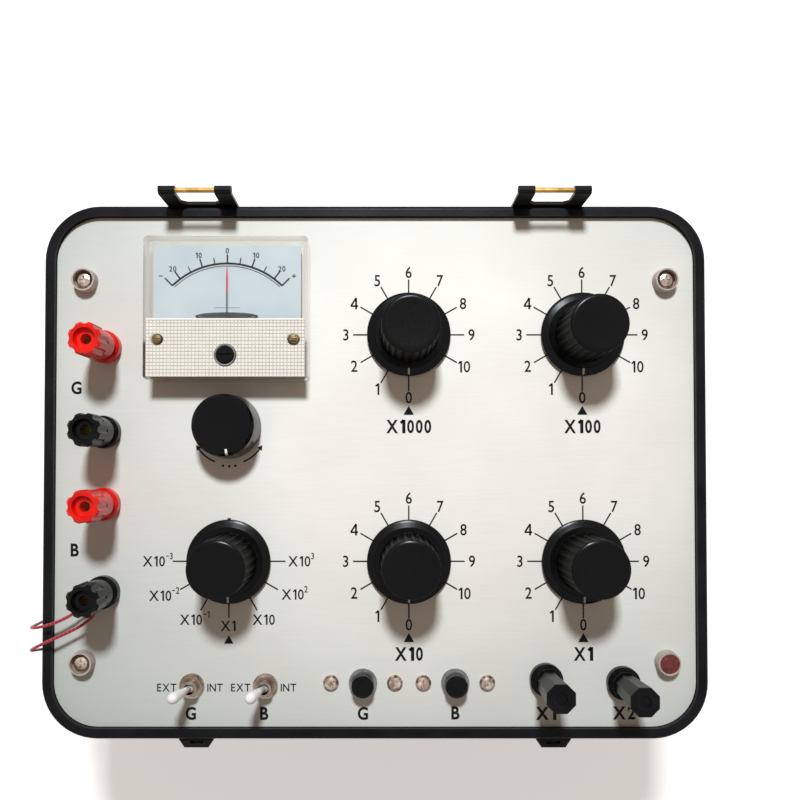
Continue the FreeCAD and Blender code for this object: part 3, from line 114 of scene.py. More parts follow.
def surface(name, shades, blotch_mm, grain_mm, rough, relief_mm, metallic=0.0,
            stretch=(1.0, 1.0, 1.0), worn=None, edge_mm=0.35, extra=None):
    """A finish of two shades in soft blotches, with a fine grain in gloss and relief."""
    finish, tree = start_finish(name)
    spot = add(tree, "TexCoord")
    laid = add(tree, "Mapping", {"Vector": spot.outputs["Object"], "Scale": stretch})
    blotch = add(tree, "TexNoise", {"Vector": laid.outputs[0], "Scale": 1000 / blotch_mm, "Detail": 4.0})
    grain = add(tree, "TexNoise", {"Vector": laid.outputs[0], "Scale": 1000 / grain_mm, "Detail": 2.0})
    colour = add(tree, "ValToRGB", {"Fac": blotch.outputs["Fac"]})
    for stop, place, shade in zip(colour.color_ramp.elements, (0.35, 0.65), shades):
        stop.position = place
        stop.color = linear(shade)
    paint = colour.outputs["Color"]
    if worn:
        rounded = add(tree, "Bevel", {"Radius": edge_mm / 1000}, samples=4)
        real = add(tree, "NewGeometry")
        facing = add(tree, "VectorMath", {
            0: rounded.outputs[0], 1: real.outputs["Normal"]}, operation="DOT_PRODUCT")
        edge = add(tree, "MapRange", {"Value": facing.outputs["Value"], "From Min": 0.99, "From Max": 0.90})
        patchy = add(tree, "Math", {0: edge.outputs[0], 1: blotch.outputs["Fac"]}, operation="MULTIPLY")
        rubbed = add(tree, "MixRGB", {"Fac": patchy.outputs[0], "Color1": paint, "Color2": linear(worn)})
        paint = rubbed.outputs["Color"]
    gloss = add(tree, "MapRange", {
        "Value": grain.outputs["Fac"], "From Min": 0.3, "From Max": 0.7, "To Min": rough[0],
        "To Max": rough[1]})
    relief = add(tree, "Bump", {"Height": grain.outputs["Fac"], "Distance": relief_mm / 1000})
    shader = add(tree, "BsdfPrincipled", {
        "Base Color": paint, "Metallic": metallic, "Roughness": gloss.outputs[0],
        "Normal": relief.outputs[0], **(extra or {})})
    add(tree, "OutputMaterial", {"Surface": shader.outputs["BSDF"]})
    return finish


# Dark mouldings with less than the usual shine seen from straight above, so that they stay black.
SOFT_SHINE = {"Specular IOR Level": 0.16, "IOR": 1.32}
finishes = {}

# %% [markdown]
# ## Case, rim and feet
# The case is compression-moulded phenolic, pressed in a bead-blasted mould: black, with a fine
# pebble a few tenths of a millimetre across. The rim is satin and a little greyer where hands rub
# it. The feet are moulded rubber, matt and dusty.

# %% Moulded case finishes
finishes["case_moulding"] = surface(
    "pebbled_black_phenolic", ("#141414", "#1F1F20"), 30, 0.7, (0.42, 0.62), 0.05, worn="#3A3937",
    edge_mm=0.6, extra=SOFT_SHINE)
finishes["rim_moulding"] = surface(
    "satin_black_phenolic_rim", ("#0D0D0F", "#1A1A1C"), 18, 0.9, (0.26, 0.44), 0.02, worn="#393735",
    edge_mm=0.5, extra=SOFT_SHINE)
finishes["foot_rubber"] = surface(
    "moulded_black_rubber", ("#171717", "#242322"), 6, 0.4, (0.75, 0.95), 0.03)
finishes["tray_plastic"] = surface(
    "injection_moulded_black_tray", ("#1B1B1C", "#262627"), 12, 0.5, (0.45, 0.6), 0.02)
print("case finishes:", len(finishes))

# %% [markdown]
# ## The panel
# The panel is aluminium sheet, brushed lengthwise and then clear anodised with a warm tint. Real
# brushing is about 0.05 mm wide, too fine for this picture, so the streaks are drawn about 0.35 mm
# wide and thirty times as long. The thick anodic film scatters light, so the sheet is mostly a pale
# matt surface here: it keeps the shadows that the photograph shows, and a faint sheen. A painted
# shade makes it cooler and darker towards its edges, most of all at the front left.

# %% Brushed and anodised sheet
def anodised_panel():
    finish, tree = start_finish("brushed_anodised_aluminium")
    spot = add(tree, "TexCoord")
    streaks = add(tree, "Mapping", {"Vector": spot.outputs["Object"], "Scale": (0.03, 1.0, 1.0)})
    brushing = add(tree, "TexNoise", {"Vector": streaks.outputs[0], "Scale": 1000 / 0.35, "Detail": 3.0})
    smudge = add(tree, "TexNoise", {"Vector": spot.outputs["Object"], "Scale": 1000 / 55, "Detail": 3.0})
    cloud = add(tree, "ValToRGB", {"Fac": smudge.outputs["Fac"]})
    cloud.color_ramp.elements[0].position = 0.3
    cloud.color_ramp.elements[0].color = linear("#ECE9E0")
    cloud.color_ramp.elements[1].position = 0.7
    cloud.color_ramp.elements[1].color = linear("#F7F5EE")
    # Painted shade: away from a point a little right of and behind the middle, the sheet is mixed towards a
    # cool grey, most of all at the front left.
    across = add(tree, "Mapping", {
        "Vector": spot.outputs["Object"], "Scale": (1 / 0.150, 1 / 0.118, 0.0),
        "Location": (-0.20, -0.15, 0.0)})
    away = add(tree, "VectorMath", {0: across.outputs[0]}, operation="LENGTH")
    edge_shade_share = add(tree, "MapRange", {
        "Value": away.outputs["Value"], "From Min": 0.45, "From Max": 1.4, "To Min": 0.0,
        "To Max": 0.95})
    painted_edge_shade = add(tree, "MixRGB", {
        "Fac": edge_shade_share.outputs[0], "Color1": cloud.outputs["Color"], "Color2": linear("#B9BEB9")})
    lines = add(tree, "MapRange", {
        "Value": brushing.outputs["Fac"], "From Min": 0.3, "From Max": 0.7, "To Min": 0.96,
        "To Max": 1.0})
    streaked = add(tree, "VectorMath", {
        0: painted_edge_shade.outputs["Color"], "Scale": lines.outputs[0]}, operation="SCALE")
    gloss = add(tree, "MapRange", {
        "Value": brushing.outputs["Fac"], "From Min": 0.3, "From Max": 0.7, "To Min": 0.42,
        "To Max": 0.56})
    relief = add(tree, "Bump", {"Height": brushing.outputs["Fac"], "Distance": 0.000012})
    shader = add(tree, "BsdfPrincipled", {
        "Base Color": streaked.outputs[0], "Metallic": 0.05, "Specular IOR Level": 0.2,
        "Roughness": gloss.outputs[0], "Normal": relief.outputs[0]})
    add(tree, "OutputMaterial", {"Surface": shader.outputs["BSDF"]})
    return finish


finishes["panel_sheet"] = anodised_panel()
print("finishes so far:", len(finishes))

# %% [markdown]
# ## Black plastics
# The knobs and post caps are polished mouldings: glossy, with a haze of fine scratches, and rubbed
# to a dark grey at their flutes and edges. The tall posts are charcoal and less polished. The red
# caps are the same moulding in signal red, and the cups are ivory that has aged to an uneven beige.

# %% Polished and coloured mouldings
finishes["knob_plastic"] = surface(
    "polished_black_phenolic", ("#040404", "#090908"), 14, 1.1, (0.19, 0.26), 0.0, worn="#161514",
    extra={"Specular IOR Level": 0.24, "IOR": 1.32})
finishes["black_plastic"] = surface(
    "moulded_black_nylon", ("#0B0B0B", "#151514"), 7, 0.6, (0.14, 0.26), 0.008, worn="#2C2B29",
    extra=SOFT_SHINE)
finishes["post_grey"] = surface(
    "moulded_charcoal_plastic", ("#0A0A0B", "#151517"), 8, 0.5, (0.2, 0.32), 0.008, worn="#3E3E40",
    extra=SOFT_SHINE)
finishes["red_plastic"] = surface(
    "moulded_signal_red_plastic", ("#D40D08", "#EA1C11"), 7, 0.6, (0.16, 0.28), 0.006, worn="#EE3A28",
    extra={"Specular IOR Level": 0.22, "Subsurface Weight": 0.08,
           "Subsurface Radius": (0.002, 0.0006, 0.0004), "Subsurface Scale": 1.0})
finishes["ivory_plastic"] = surface(
    "aged_ivory_plastic", ("#A2958A", "#BDB1A6"), 5, 0.5, (0.34, 0.5), 0.015, worn="#CFC6BC")
finishes["meter_base_plastic"] = surface(
    "cream_moulded_styrene", ("#D9D4C6", "#E9E6DC"), 16, 0.5, (0.3, 0.42), 0.01, worn="#F2EFE8")
finishes["switch_laminate"] = surface(
    "paper_phenolic_laminate", ("#5A3218", "#7A4826"), 4, 0.3, (0.45, 0.6), 0.01)
print("finishes so far:", len(finishes))

# %% [markdown]
# ## Plated, painted and turned metals
# Nickel plating on the screws has gone brown in its recesses, so it runs from grey to copper in
# patches of a few millimetres. Levers are bright chrome under their sleeves. Hinge leaves and
# catches are black enamelled steel, worn brown at the edges, round a drawn brass pin. A metal keeps
# the default index of refraction, because its colour is in its reflection.

# %% Metals
finishes["nickel_screw"] = surface(
    "tarnished_nickel_plate", ("#85695A", "#C9BBB0"), 2.2, 0.35, (0.22, 0.36), 0.004, metallic=1.0,
    worn="#E6DACE")
finishes["toggle_nickel"] = surface(
    "browned_nickel_plate", ("#77675C", "#A09185"), 5, 0.4, (0.24, 0.36), 0.003, metallic=1.0, worn="#D8CBBC")
finishes["lever_chrome"] = surface(
    "bright_chrome_plate", ("#E6E4DF", "#F7F6F2"), 4, 0.4, (0.16, 0.28), 0.004, metallic=0.35)
finishes["collar_grey"] = surface(
    "dull_nickel_collar", ("#5E5E5F", "#86868A"), 3, 0.3, (0.28, 0.42), 0.008, metallic=0.85, worn="#B8B6B0")
finishes["brass_pin"] = surface(
    "worn_drawn_brass", ("#8A6636", "#C39C5A"), 5, 0.3, (0.26, 0.42), 0.01, metallic=1.0, worn="#E3C58A")
finishes["brass_contact"] = surface(
    "turned_brass", ("#B08A45", "#D2AF6A"), 4, 0.2, (0.2, 0.32), 0.006, metallic=1.0)
finishes["steel_shaft"] = surface(
    "ground_steel", ("#9B9B9C", "#B9B9BA"), 6, 0.15, (0.24, 0.34), 0.005, metallic=1.0)
finishes["pot_can"] = surface(
    "pressed_aluminium_can", ("#A9A9A8", "#C6C6C4"), 8, 0.3, (0.34, 0.46), 0.008, metallic=1.0)
finishes["magnet_iron"] = surface(
    "cast_magnet_alloy", ("#3A3A3C", "#515154"), 4, 0.6, (0.5, 0.7), 0.04, metallic=0.8)
finishes["black_steel"] = surface(
    "black_enamelled_steel", ("#131312", "#20201E"), 9, 0.8, (0.28, 0.46), 0.015, worn="#6A583E",
    edge_mm=0.25, extra=SOFT_SHINE)
finishes["cell_jacket"] = surface(
    "tinplate_cell_jacket", ("#22335E", "#2B4074"), 15, 0.5, (0.28, 0.4), 0.004, metallic=0.5)
print("finishes so far:", len(finishes))

# %% [markdown]
# ## Wax, wire and card
# The front right cup is filled with dark red sealing wax, poured hot, so it is lumpy and glossy
# with a waxy depth. The coils under the panel are wound with silk-covered wire 0.4 mm thick, which
# gives fine rings. The meter's dial is printed card under a pale blue wash.

# %% Wax, winding and dial card
finishes["sealing_wax"] = surface(
    "poured_sealing_wax", ("#3E0508", "#7A0F16"), 1.8, 0.9, (0.12, 0.34), 0.22, worn="#9A2A2C",
    extra={"Subsurface Weight": 0.15, "Subsurface Radius": (0.001, 0.0002, 0.0002), "Subsurface Scale": 1.0})
finishes["dial_card"] = surface(
    "pale_blue_dial_card", ("#CCDDE6", "#D9E8EF"), 22, 0.3, (0.55, 0.7), 0.003)


def wound_silk():
    finish, tree = start_finish("silk_covered_winding")
    spot = add(tree, "TexCoord")
    turns = add(tree, "TexWave", {
        "Vector": spot.outputs["Object"], "Scale": 2 * math.pi / 20 / 0.0004, "Distortion": 0.6,
        "Detail": 1.0}, bands_direction="Z")
    fleck = add(tree, "TexNoise", {"Vector": spot.outputs["Object"], "Scale": 1000 / 1.5})
    silk = add(tree, "MixRGB", {
        "Fac": fleck.outputs["Fac"], "Color1": linear("#6E3E16"), "Color2": linear("#A8682E")})
    relief = add(tree, "Bump", {"Height": turns.outputs["Fac"], "Distance": 0.0001})
    shader = add(tree, "BsdfPrincipled", {
        "Base Color": silk.outputs["Color"], "Roughness": 0.55, "Sheen Weight": 0.4,
        "Normal": relief.outputs[0]})
    add(tree, "OutputMaterial", {"Surface": shader.outputs["BSDF"]})
    return finish


finishes["spool_winding"] = wound_silk()
print("finishes so far:", len(finishes))

# %% [markdown]
# ## Clear acrylic and the lacquered needle
# The meter's cover is clear injection-moulded acrylic. Light must pass through it to the dial, so
# shadow rays and light scattered by the dial see it as nearly transparent, and other rays see real
# refraction with a faint milky haze from the mould. The needle is red lacquer over its outer part and
# bare grey metal near the pivot.

# %% Acrylic and needle finishes
def clear_acrylic():
    finish, tree = start_finish("moulded_clear_acrylic")
    spot = add(tree, "TexCoord")
    haze = add(tree, "TexNoise", {"Vector": spot.outputs["Object"], "Scale": 1000 / 9, "Detail": 3.0})
    gloss = add(tree, "MapRange", {"Value": haze.outputs["Fac"], "To Min": 0.0, "To Max": 0.06})
    tint = add(tree, "MixRGB", {
        "Fac": haze.outputs["Fac"], "Color1": linear("#F6F5F4"), "Color2": linear("#FCFBFA")})
    solid = add(tree, "BsdfPrincipled", {
        "Base Color": tint.outputs["Color"], "Roughness": gloss.outputs[0], "IOR": 1.32,
        "Transmission Weight": 1.0})
    through = add(tree, "BsdfTransparent", {"Color": linear("#F4F3F2")})
    path = add(tree, "LightPath")
    inside = add(tree, "Math", {
        0: path.outputs["Is Shadow Ray"], 1: path.outputs["Is Diffuse Ray"]}, operation="MAXIMUM")
    both = add(tree, "MixShader", {0: inside.outputs[0], 1: solid.outputs[0], 2: through.outputs[0]})
    add(tree, "OutputMaterial", {"Surface": both.outputs[0]})
    return finish


def lacquered_needle():
    finish, tree = start_finish("red_lacquered_needle")
    spot = add(tree, "TexCoord")
    along = add(tree, "SeparateXYZ", {0: spot.outputs["Object"]})
    red_end = add(tree, "Math", {0: along.outputs["Y"], 1: 0.0700}, operation="GREATER_THAN")
    fleck = add(tree, "TexNoise", {"Vector": spot.outputs["Object"], "Scale": 1000 / 2.0})
    lacquer = add(tree, "MixRGB", {
        "Fac": fleck.outputs["Fac"], "Color1": linear("#B01A22"), "Color2": linear("#D84048")})
    shade = add(tree, "MixRGB", {
        "Fac": red_end.outputs[0], "Color1": linear("#5C6064"), "Color2": lacquer.outputs["Color"]})
    shader = add(tree, "BsdfPrincipled", {"Base Color": shade.outputs["Color"], "Roughness": 0.35})
    add(tree, "OutputMaterial", {"Surface": shader.outputs["BSDF"]})
    return finish


finishes["clear_acrylic"] = clear_acrylic()
finishes["needle_metal"] = lacquered_needle()
print("finishes so far:", len(finishes))

# %% [markdown]
# ## Cotton thread
# The loose red loop is twisted cotton, 1.2 mm thick. Its plies lean across it about once in its own
# thickness, which the curve's own UV map can carry along every bend.

# %% Twisted cotton
THREAD_WIDE = 0.0012
THREAD_LONG = 0.2278


def twisted_cotton():
    finish, tree = start_finish("twisted_red_cotton")
    spot = add(tree, "TexCoord")
    along = add(tree, "Mapping", {
        "Vector": spot.outputs["UV"], "Scale": (THREAD_LONG / THREAD_WIDE, 2.0, 1.0)})
    plies = add(tree, "TexWave", {
        "Vector": along.outputs[0], "Scale": 0.32, "Distortion": 0.4}, bands_direction="DIAGONAL")
    fuzz = add(tree, "TexNoise", {"Vector": spot.outputs["Object"], "Scale": 1000 / 0.4})
    shade = add(tree, "MixRGB", {
        "Fac": plies.outputs["Fac"], "Color1": linear("#8E0A1C"), "Color2": linear("#C81A30")})
    rough = add(tree, "MapRange", {"Value": fuzz.outputs["Fac"], "To Min": 0.6, "To Max": 0.9})
    relief = add(tree, "Bump", {"Height": plies.outputs["Fac"], "Distance": 0.00015})
    shader = add(tree, "BsdfPrincipled", {
        "Base Color": shade.outputs["Color"], "Roughness": rough.outputs[0], "Sheen Weight": 0.5,
        "Normal": relief.outputs[0]})
    add(tree, "OutputMaterial", {"Surface": shader.outputs["BSDF"]})
    return finish


finishes["red_thread"] = twisted_cotton()
print("finishes in all:", len(finishes))

# %% [markdown]
# ## Dressing the CAD parts
# Every CAD part names the slot of its finish, so one loop dresses them all. The two screws of the
# meter's cover are the exception: they are brass that has gone brown, unlike the plated ones.

# %% Put the finishes on the CAD parts
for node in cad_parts.values():
    for held in node.material_slots:
        held.material = finishes[held.material.name.split(".")[0]]
aged_brass = surface(
    "aged_brass_screw", ("#3E3222", "#6E5C40"), 1.5, 0.2, (0.3, 0.45), 0.008, metallic=1.0, worn="#A8946A")
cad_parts["meter_screws"].material_slots[0].material = aged_brass
print("parts dressed:", len(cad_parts))

# %% [markdown]
# ## The loop of thread
# A limp thread hangs by its own weight. It starts beside the last post, crosses the rim, drops down
# the outside of the case, turns round and comes back. One smooth NURBS line through a few control
# points gives that, and a round bevel gives it its thickness. The order is set after the points are
# in, because otherwise the line stays straight between them.

# %% Hang the thread over the rim
thread_route = [
    (-0.1069, -0.0513, 0.1112), (-0.1096, -0.0564, 0.1115), (-0.1149, -0.0607, 0.1120),
    (-0.1210, -0.0637, 0.1124), (-0.1274, -0.0664, 0.1132), (-0.1332, -0.0692, 0.1124),
    (-0.1368, -0.0713, 0.1070), (-0.1376, -0.0730, 0.0970), (-0.1372, -0.0750, 0.0830),
    (-0.1375, -0.0766, 0.0670), (-0.1380, -0.0772, 0.0515), (-0.1379, -0.0764, 0.0404),
    (-0.1376, -0.0730, 0.0334), (-0.1375, -0.0684, 0.0314), (-0.1378, -0.0639, 0.0338),
    (-0.1380, -0.0610, 0.0410), (-0.1377, -0.0606, 0.0520), (-0.1372, -0.0614, 0.0670),
    (-0.1375, -0.0624, 0.0830), (-0.1378, -0.0626, 0.0970), (-0.1368, -0.0622, 0.1070),
    (-0.1330, -0.0614, 0.1126), (-0.1272, -0.0602, 0.1134), (-0.1214, -0.0579, 0.1127),
    (-0.1160, -0.0546, 0.1121), (-0.1116, -0.0510, 0.1112),
]
thread_line = bpy.data.curves.new("cotton_loop", "CURVE")
thread_line.dimensions = "3D"
strand = thread_line.splines.new("NURBS")
strand.points.add(len(thread_route) - 1)
for point, place in zip(strand.points, thread_route):
    point.co = (*place, 1.0)
strand.order_u = 3
strand.use_endpoint_u = True
strand.resolution_u = 8
thread_line.bevel_depth = THREAD_WIDE / 2
thread_line.bevel_resolution = 3
thread_line.use_fill_caps = True
thread_line.materials.append(finishes["red_thread"])
cotton_loop = bpy.data.objects.new("cotton_loop", thread_line)
bpy.context.collection.objects.link(cotton_loop)
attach(cotton_loop, "instrument")
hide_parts("red_thread")
print("thread points:", len(thread_route))

# %% [markdown]
# ## Ink and paint
# The panel is screen-printed in black ink, which stands up by a few hundredths of a millimetre and
# dries satin. The pointers on the knobs are a pale paint pressed into the moulding. Both get a
# faintly uneven shade, as hand-wiped ink and paint have.

# %% Ink and paint finishes
black_ink = surface("screen_printed_black_ink", ("#0F0F0F", "#1C1B1A"), 3, 0.3, (0.5, 0.7), 0.004,
                    extra={"Specular IOR Level": 0.08})
dial_ink = surface("printed_dial_ink", ("#060708", "#101214"), 2, 0.3, (0.5, 0.65), 0.002,
                   extra={"Specular IOR Level": 0.08})
pointer_paint = surface("pale_filler_paint", ("#CFCBBF", "#ECEAE2"), 1.5, 0.3, (0.4, 0.6), 0.01)
print("inks and paint:", black_ink.name, dial_ink.name, pointer_paint.name)

# %% [markdown]
# ## Working by hand, in code
# Each new piece starts from a primitive at its real size and place and is shaped by operators. Two
# habits keep that safe. Everything is deselected first, because an operator acts on all that is
# selected. And at the end the place goes into the mesh, so that the object itself sits at the
# origin, as the CAD parts do.

# %% Helpers for selecting, joining and settling pieces
def clear_selection():
    bpy.ops.object.select_all(action="DESELECT")


def choose(*pieces):
    """Selects these pieces only, with the first one active."""
    clear_selection()
    for piece in pieces:
        piece.select_set(True)
    bpy.context.view_layer.objects.active = pieces[0]


def placed(*pieces):
    """Puts the place, turn and size of each piece into its mesh."""
    choose(*pieces)
    bpy.ops.object.transform_apply(location=True, rotation=True, scale=True)
    return pieces[0]


def merged(pieces):
    """Joins pieces into the first one, with every place put into the mesh."""
    placed(*pieces)
    if len(pieces) > 1:
        bpy.ops.object.join()
    return pieces[0]


def finish_with(piece, kind, **settings):
    """Adds a modifier with these settings and applies it."""
    choose(piece)
    step = piece.modifiers.new(kind.lower(), kind)
    for name, value in settings.items():
        setattr(step, name, value)
    bpy.ops.object.modifier_apply(modifier=step.name)


def settled(piece, name, finish, body):
    """Names a piece, gives it its finish and hangs it on a body of the frame."""
    placed(piece)
    piece.name = name
    piece.data.name = name
    piece.data.materials.clear()
    piece.data.materials.append(finish)
    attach(piece, body)
    print(name, "has", len(piece.data.polygons), "faces")
    return piece


# %% [markdown]
# ## Printed marks
# Strokes, triangles and arcs are flat faces first. They are all joined and thickened once, so the
# print is one thin closed layer. Letters are made from the built-in font, one at a time, and scaled
# by their measured height, because a font's own size includes room above and below. The figures
# one and four are drawn from listed strokes: the font's one has no flag and would read as a letter,
# and its four fills up when it is thickened.

# %% Strokes, triangles, arcs and letters
INK_HIGH = 0.00006
# Signs drawn from listed strokes: each stroke's length, width, place and turn in degrees, as shares
# of the sign's height and of its line's thickness.
DRAWN = {
    "1": [(1.0, 1.0, 0.0, 0.0, 90), (0.32, 0.85, -0.12, 0.37, 42)],
    "4": [(1.0, 1.0, 0.14, 0.0, 90), (0.66, 0.9, 0.0, -0.22, 0), (0.84, 0.9, -0.08, 0.14, 57.5)],
    "-": [(0.42, 1.0, 0.0, 0.0, 0)],
}


def out_from(x, y, reach, angle):
    """The point at a distance and an angle from a centre."""
    return x + reach * math.cos(angle), y + reach * math.sin(angle)


def stroke(length, width, x, y, z, turn=0.0):
    """A flat bar, centred on a point and turned about it."""
    clear_selection()
    bpy.ops.mesh.primitive_plane_add(size=1.0, location=(x, y, z), rotation=(0.0, 0.0, turn))
    bar = bpy.context.object
    bar.scale = (length, width, 1.0)
    return bar


def arrowhead(radius, x, y, z, turn=0.0):
    """A flat triangle that points to +Y before it is turned."""
    clear_selection()
    bpy.ops.mesh.primitive_circle_add(vertices=3, radius=radius, fill_type="NGON",
                                      location=(x, y, z), rotation=(0.0, 0.0, turn))
    return bpy.context.object


def arc_band(radius, width, start, end, x, y, z):
    """A flat part of a ring between two angles in degrees, from a circle pushed outward."""
    clear_selection()
    bpy.ops.mesh.primitive_circle_add(vertices=180, radius=radius - width / 2, fill_type="NOTHING",
                                      location=(x, y, z))
    ring = bpy.context.object
    bpy.ops.object.mode_set(mode="EDIT")
    bpy.ops.mesh.select_all(action="SELECT")
    bpy.ops.mesh.extrude_edges_move()
    grow = (radius + width / 2) / (radius - width / 2)
    bpy.ops.transform.resize(value=(grow, grow, 1.0), center_override=(x, y, z))
    bpy.ops.mesh.select_all(action="SELECT")
    bpy.ops.mesh.normals_make_consistent(inside=False)
    bpy.ops.mesh.select_all(action="DESELECT")
    bpy.ops.object.mode_set(mode="OBJECT")
    for corner in ring.data.vertices:
        angle = math.degrees(math.atan2(corner.co.y, corner.co.x))
        corner.select = not any(start - 0.1 <= angle + whole <= end + 0.1 for whole in (-360, 0, 360))
    bpy.ops.object.mode_set(mode="EDIT")
    bpy.ops.mesh.delete(type="VERT")
    bpy.ops.object.mode_set(mode="OBJECT")
    return ring


def facing_up(piece):
    """Turns a flat piece's faces to look upward."""
    choose(piece)
    bpy.ops.object.mode_set(mode="EDIT")
    bpy.ops.mesh.select_all(action="SELECT")
    bpy.ops.mesh.normals_make_consistent(inside=False)
    bpy.ops.object.mode_set(mode="OBJECT")
    if sum(face.normal.z * face.area for face in piece.data.polygons) < 0:
        bpy.ops.object.mode_set(mode="EDIT")
        bpy.ops.mesh.flip_normals()
        bpy.ops.object.mode_set(mode="OBJECT")
    return piece


def reach_of(piece):
    """The lowest and highest corner of a piece's own mesh."""
    corners = [corner.co for corner in piece.data.vertices]
    return [Vector([pick(co[axis] for co in corners) for axis in range(3)]) for pick in (min, max)]


def drawn(sign, high, z, bold):
    """A sign from the strokes that the table gives for it, as a thin closed mesh."""
    thick = (0.12 + 4 * bold) * high
    figure = merged([stroke(long * high, wide * thick, x * high, y * high, z, math.radians(turn))
                     for long, wide, x, y, turn in DRAWN[sign]])
    finish_with(figure, "SOLIDIFY", thickness=INK_HIGH, offset=-1.0)
    return figure


def letter(sign, high, z, bold, narrow):
    """One letter or figure of a measured height, as a thin closed mesh that starts at the origin."""
    clear_selection()
    bpy.ops.object.text_add()
    glyph = bpy.context.object
    glyph.data.body = sign
    glyph.data.resolution_u = 4
    glyph.data.extrude = INK_HIGH / 2
    glyph.data.offset = bold
    bpy.ops.object.convert(target="MESH")
    glyph = bpy.context.object
    low, top = reach_of(glyph)
    size = high / (top.y - low.y)
    glyph.scale = (size * narrow, size, 1.0)
    glyph.location = (0.0, -size * (low.y + top.y) / 2, z - INK_HIGH / 2)
    return placed(glyph)


def letters(words, high, x, y, z, bold=0.011, narrow=0.88):
    """Letters set side by side and centred on a point. All the signs here are equally high."""
    row, cursor = [], 0.0
    for sign in words:
        glyph = drawn(sign, high, z, bold) if sign in DRAWN else letter(sign, high, z, bold, narrow)
        low, top = reach_of(glyph)
        glyph.location.x = cursor - low.x
        cursor += top.x - low.x + 0.16 * narrow * high
        row.append(glyph)
    word = merged(row)
    low, top = reach_of(word)
    word.location = (x - (low.x + top.x) / 2, y, 0.0)
    return word


def printed(flats, words, name, finish, body):
    """Thickens the flat marks, joins the letters to them and settles the print."""
    sheet = facing_up(merged(flats))
    finish_with(sheet, "SOLIDIFY", thickness=INK_HIGH, offset=-1.0)
    return settled(merged([sheet, *words]) if words else sheet, name, finish, body)


# %% [markdown]
# ## The decade scales
# Each decade dial has eleven ticks, 30 degrees apart and clockwise from the bottom, with the numbers
# 0 to 10 outside them. A solid triangle and the multiplier stand under the zero. The four scales
# are alike, so one loop prints them, each as its own layer.

# %% Print the decade scales
INK = PANEL + INK_HIGH
TICK_WIDE = 0.00055
BACK_ROW, FRONT_ROW = 0.0545, -0.0361
decades = {"X1000": (0.0135, BACK_ROW), "X100": (0.0830, BACK_ROW),
           "X10": (0.0135, FRONT_ROW), "X1": (0.0830, FRONT_ROW)}
for word, (x, y) in decades.items():
    flats = [arrowhead(0.0024, x, y - 0.0309, INK)]
    words = [letters(word, 0.0054, x, y - 0.0368, INK, bold=0.03, narrow=0.78)]
    for count in range(11):
        angle = math.radians(-90 - 30 * count)
        reach = 0.0192 if count else 0.0196
        flats.append(stroke(0.0062, TICK_WIDE, *out_from(x, y, reach, angle), INK, angle))
        out = 0.0256 if count == 10 else 0.0252
        words.append(letters(str(count), 0.0046, *out_from(x, y, out, angle), INK))
    printed(flats, words, f"scale_{word.lower()}", black_ink, "instrument")

# %% [markdown]
# ## The ratio scale and the other labels
# The ratio dial multiplies by powers of ten, so its labels carry small raised figures. The rest of
# the panel's print is single letters for the galvanometer and battery circuits and X1 and X2 for
# the unknown resistor's posts. Words beside the toggles say external and internal in short.

# %% Print the ratio scale and the labels
ratio_x, ratio_y = -0.0582, FRONT_ROW
flats = [arrowhead(0.0022, ratio_x, ratio_y - 0.0316, INK)]
words = []
for step in range(7):
    angle = math.radians(-180 + 30 * step)
    flats.append(stroke(0.0064, TICK_WIDE, *out_from(ratio_x, ratio_y, 0.0193, angle), INK, angle))
# Each label's power of ten and place. The middle one is plain X1, and X10 has no raised figure.
ratio_marks = [("-3", -0.0882, FRONT_ROW), ("-2", -0.0856, -0.0498), ("-1", -0.0733, -0.0593),
               (None, -0.0585, -0.0618), ("", -0.0443, -0.0593), ("2", -0.0328, -0.0493),
               ("3", -0.0302, FRONT_ROW)]
for power, x, y in ratio_marks:
    words.append(letters("X1" if power is None else "X10", 0.0041, x, y, INK))
    if power:
        words.append(letters(power, 0.0026, x + 0.0044 + 0.0009 * len(power), y + 0.0021, INK, bold=0.008))
flats.append(stroke(0.0014, 0.0012, ratio_x, ratio_y + 0.0166, INK))
printed(flats, words, "scale_ratio", black_ink, "instrument")

# In pairs: beside the posts on the left, under the toggles, under the keys, under the tall posts.
signs = [("G", -0.1196, 0.0332), ("B", -0.1198, -0.0316), ("G", -0.0732, -0.0964), ("B", -0.0440, -0.0964),
         ("G", -0.0048, -0.0964), ("B", 0.0320, -0.0962), ("X1", 0.0680, -0.0964), ("X2", 0.0990, -0.0962)]
big = [letters(word, 0.0052, x, y, INK, bold=0.03) for word, x, y in signs]
small = [letters(word, 0.0031, x, -0.0862, INK, bold=0.01)
         for word, x in (("EXT", -0.0828), ("INT", -0.0636), ("EXT", -0.0534), ("INT", -0.0344))]
settled(merged(big + small), "panel_labels", black_ink, "instrument")

# %% [markdown]
# ## The sensitivity arrows
# Round the lower side of the sensitivity knob run two printed arcs that end in arrowheads, with
# three dots between them. Each arc is a ring cut down to its angles.

# %% Print the sensitivity arrows
sense_x, sense_y = -0.0583, 0.0176
ARROW_OUT = 0.0151
flats = []
for start, end in ((-144, -112), (-68, -36)):
    flats.append(arc_band(ARROW_OUT, 0.0006, start, end, sense_x, sense_y, INK))
for tip in (-146, -34):
    angle = math.radians(tip)
    along = angle + (math.pi if tip < -90 else 0.0)
    flats.append(arrowhead(0.0013, *out_from(sense_x, sense_y, ARROW_OUT, angle), INK, along))
for dot in (-99, -90, -81):
    place = (*out_from(sense_x, sense_y, 0.0158, math.radians(dot)), INK)
    clear_selection()
    bpy.ops.mesh.primitive_circle_add(vertices=16, radius=0.0005, fill_type="NGON", location=place)
    flats.append(bpy.context.object)
printed(flats, [], "sensitivity_arrows", black_ink, "instrument")

# %% [markdown]
# ## The meter's dial
# A centre-zero galvanometer has a bow-shaped scale: a heavy arc with a finer one under it, ticks
# every five divisions, and signs at the ends to tell which way the current flows. The arc's centre
# is the needle's pivot, so the needle's tip follows it at every angle.

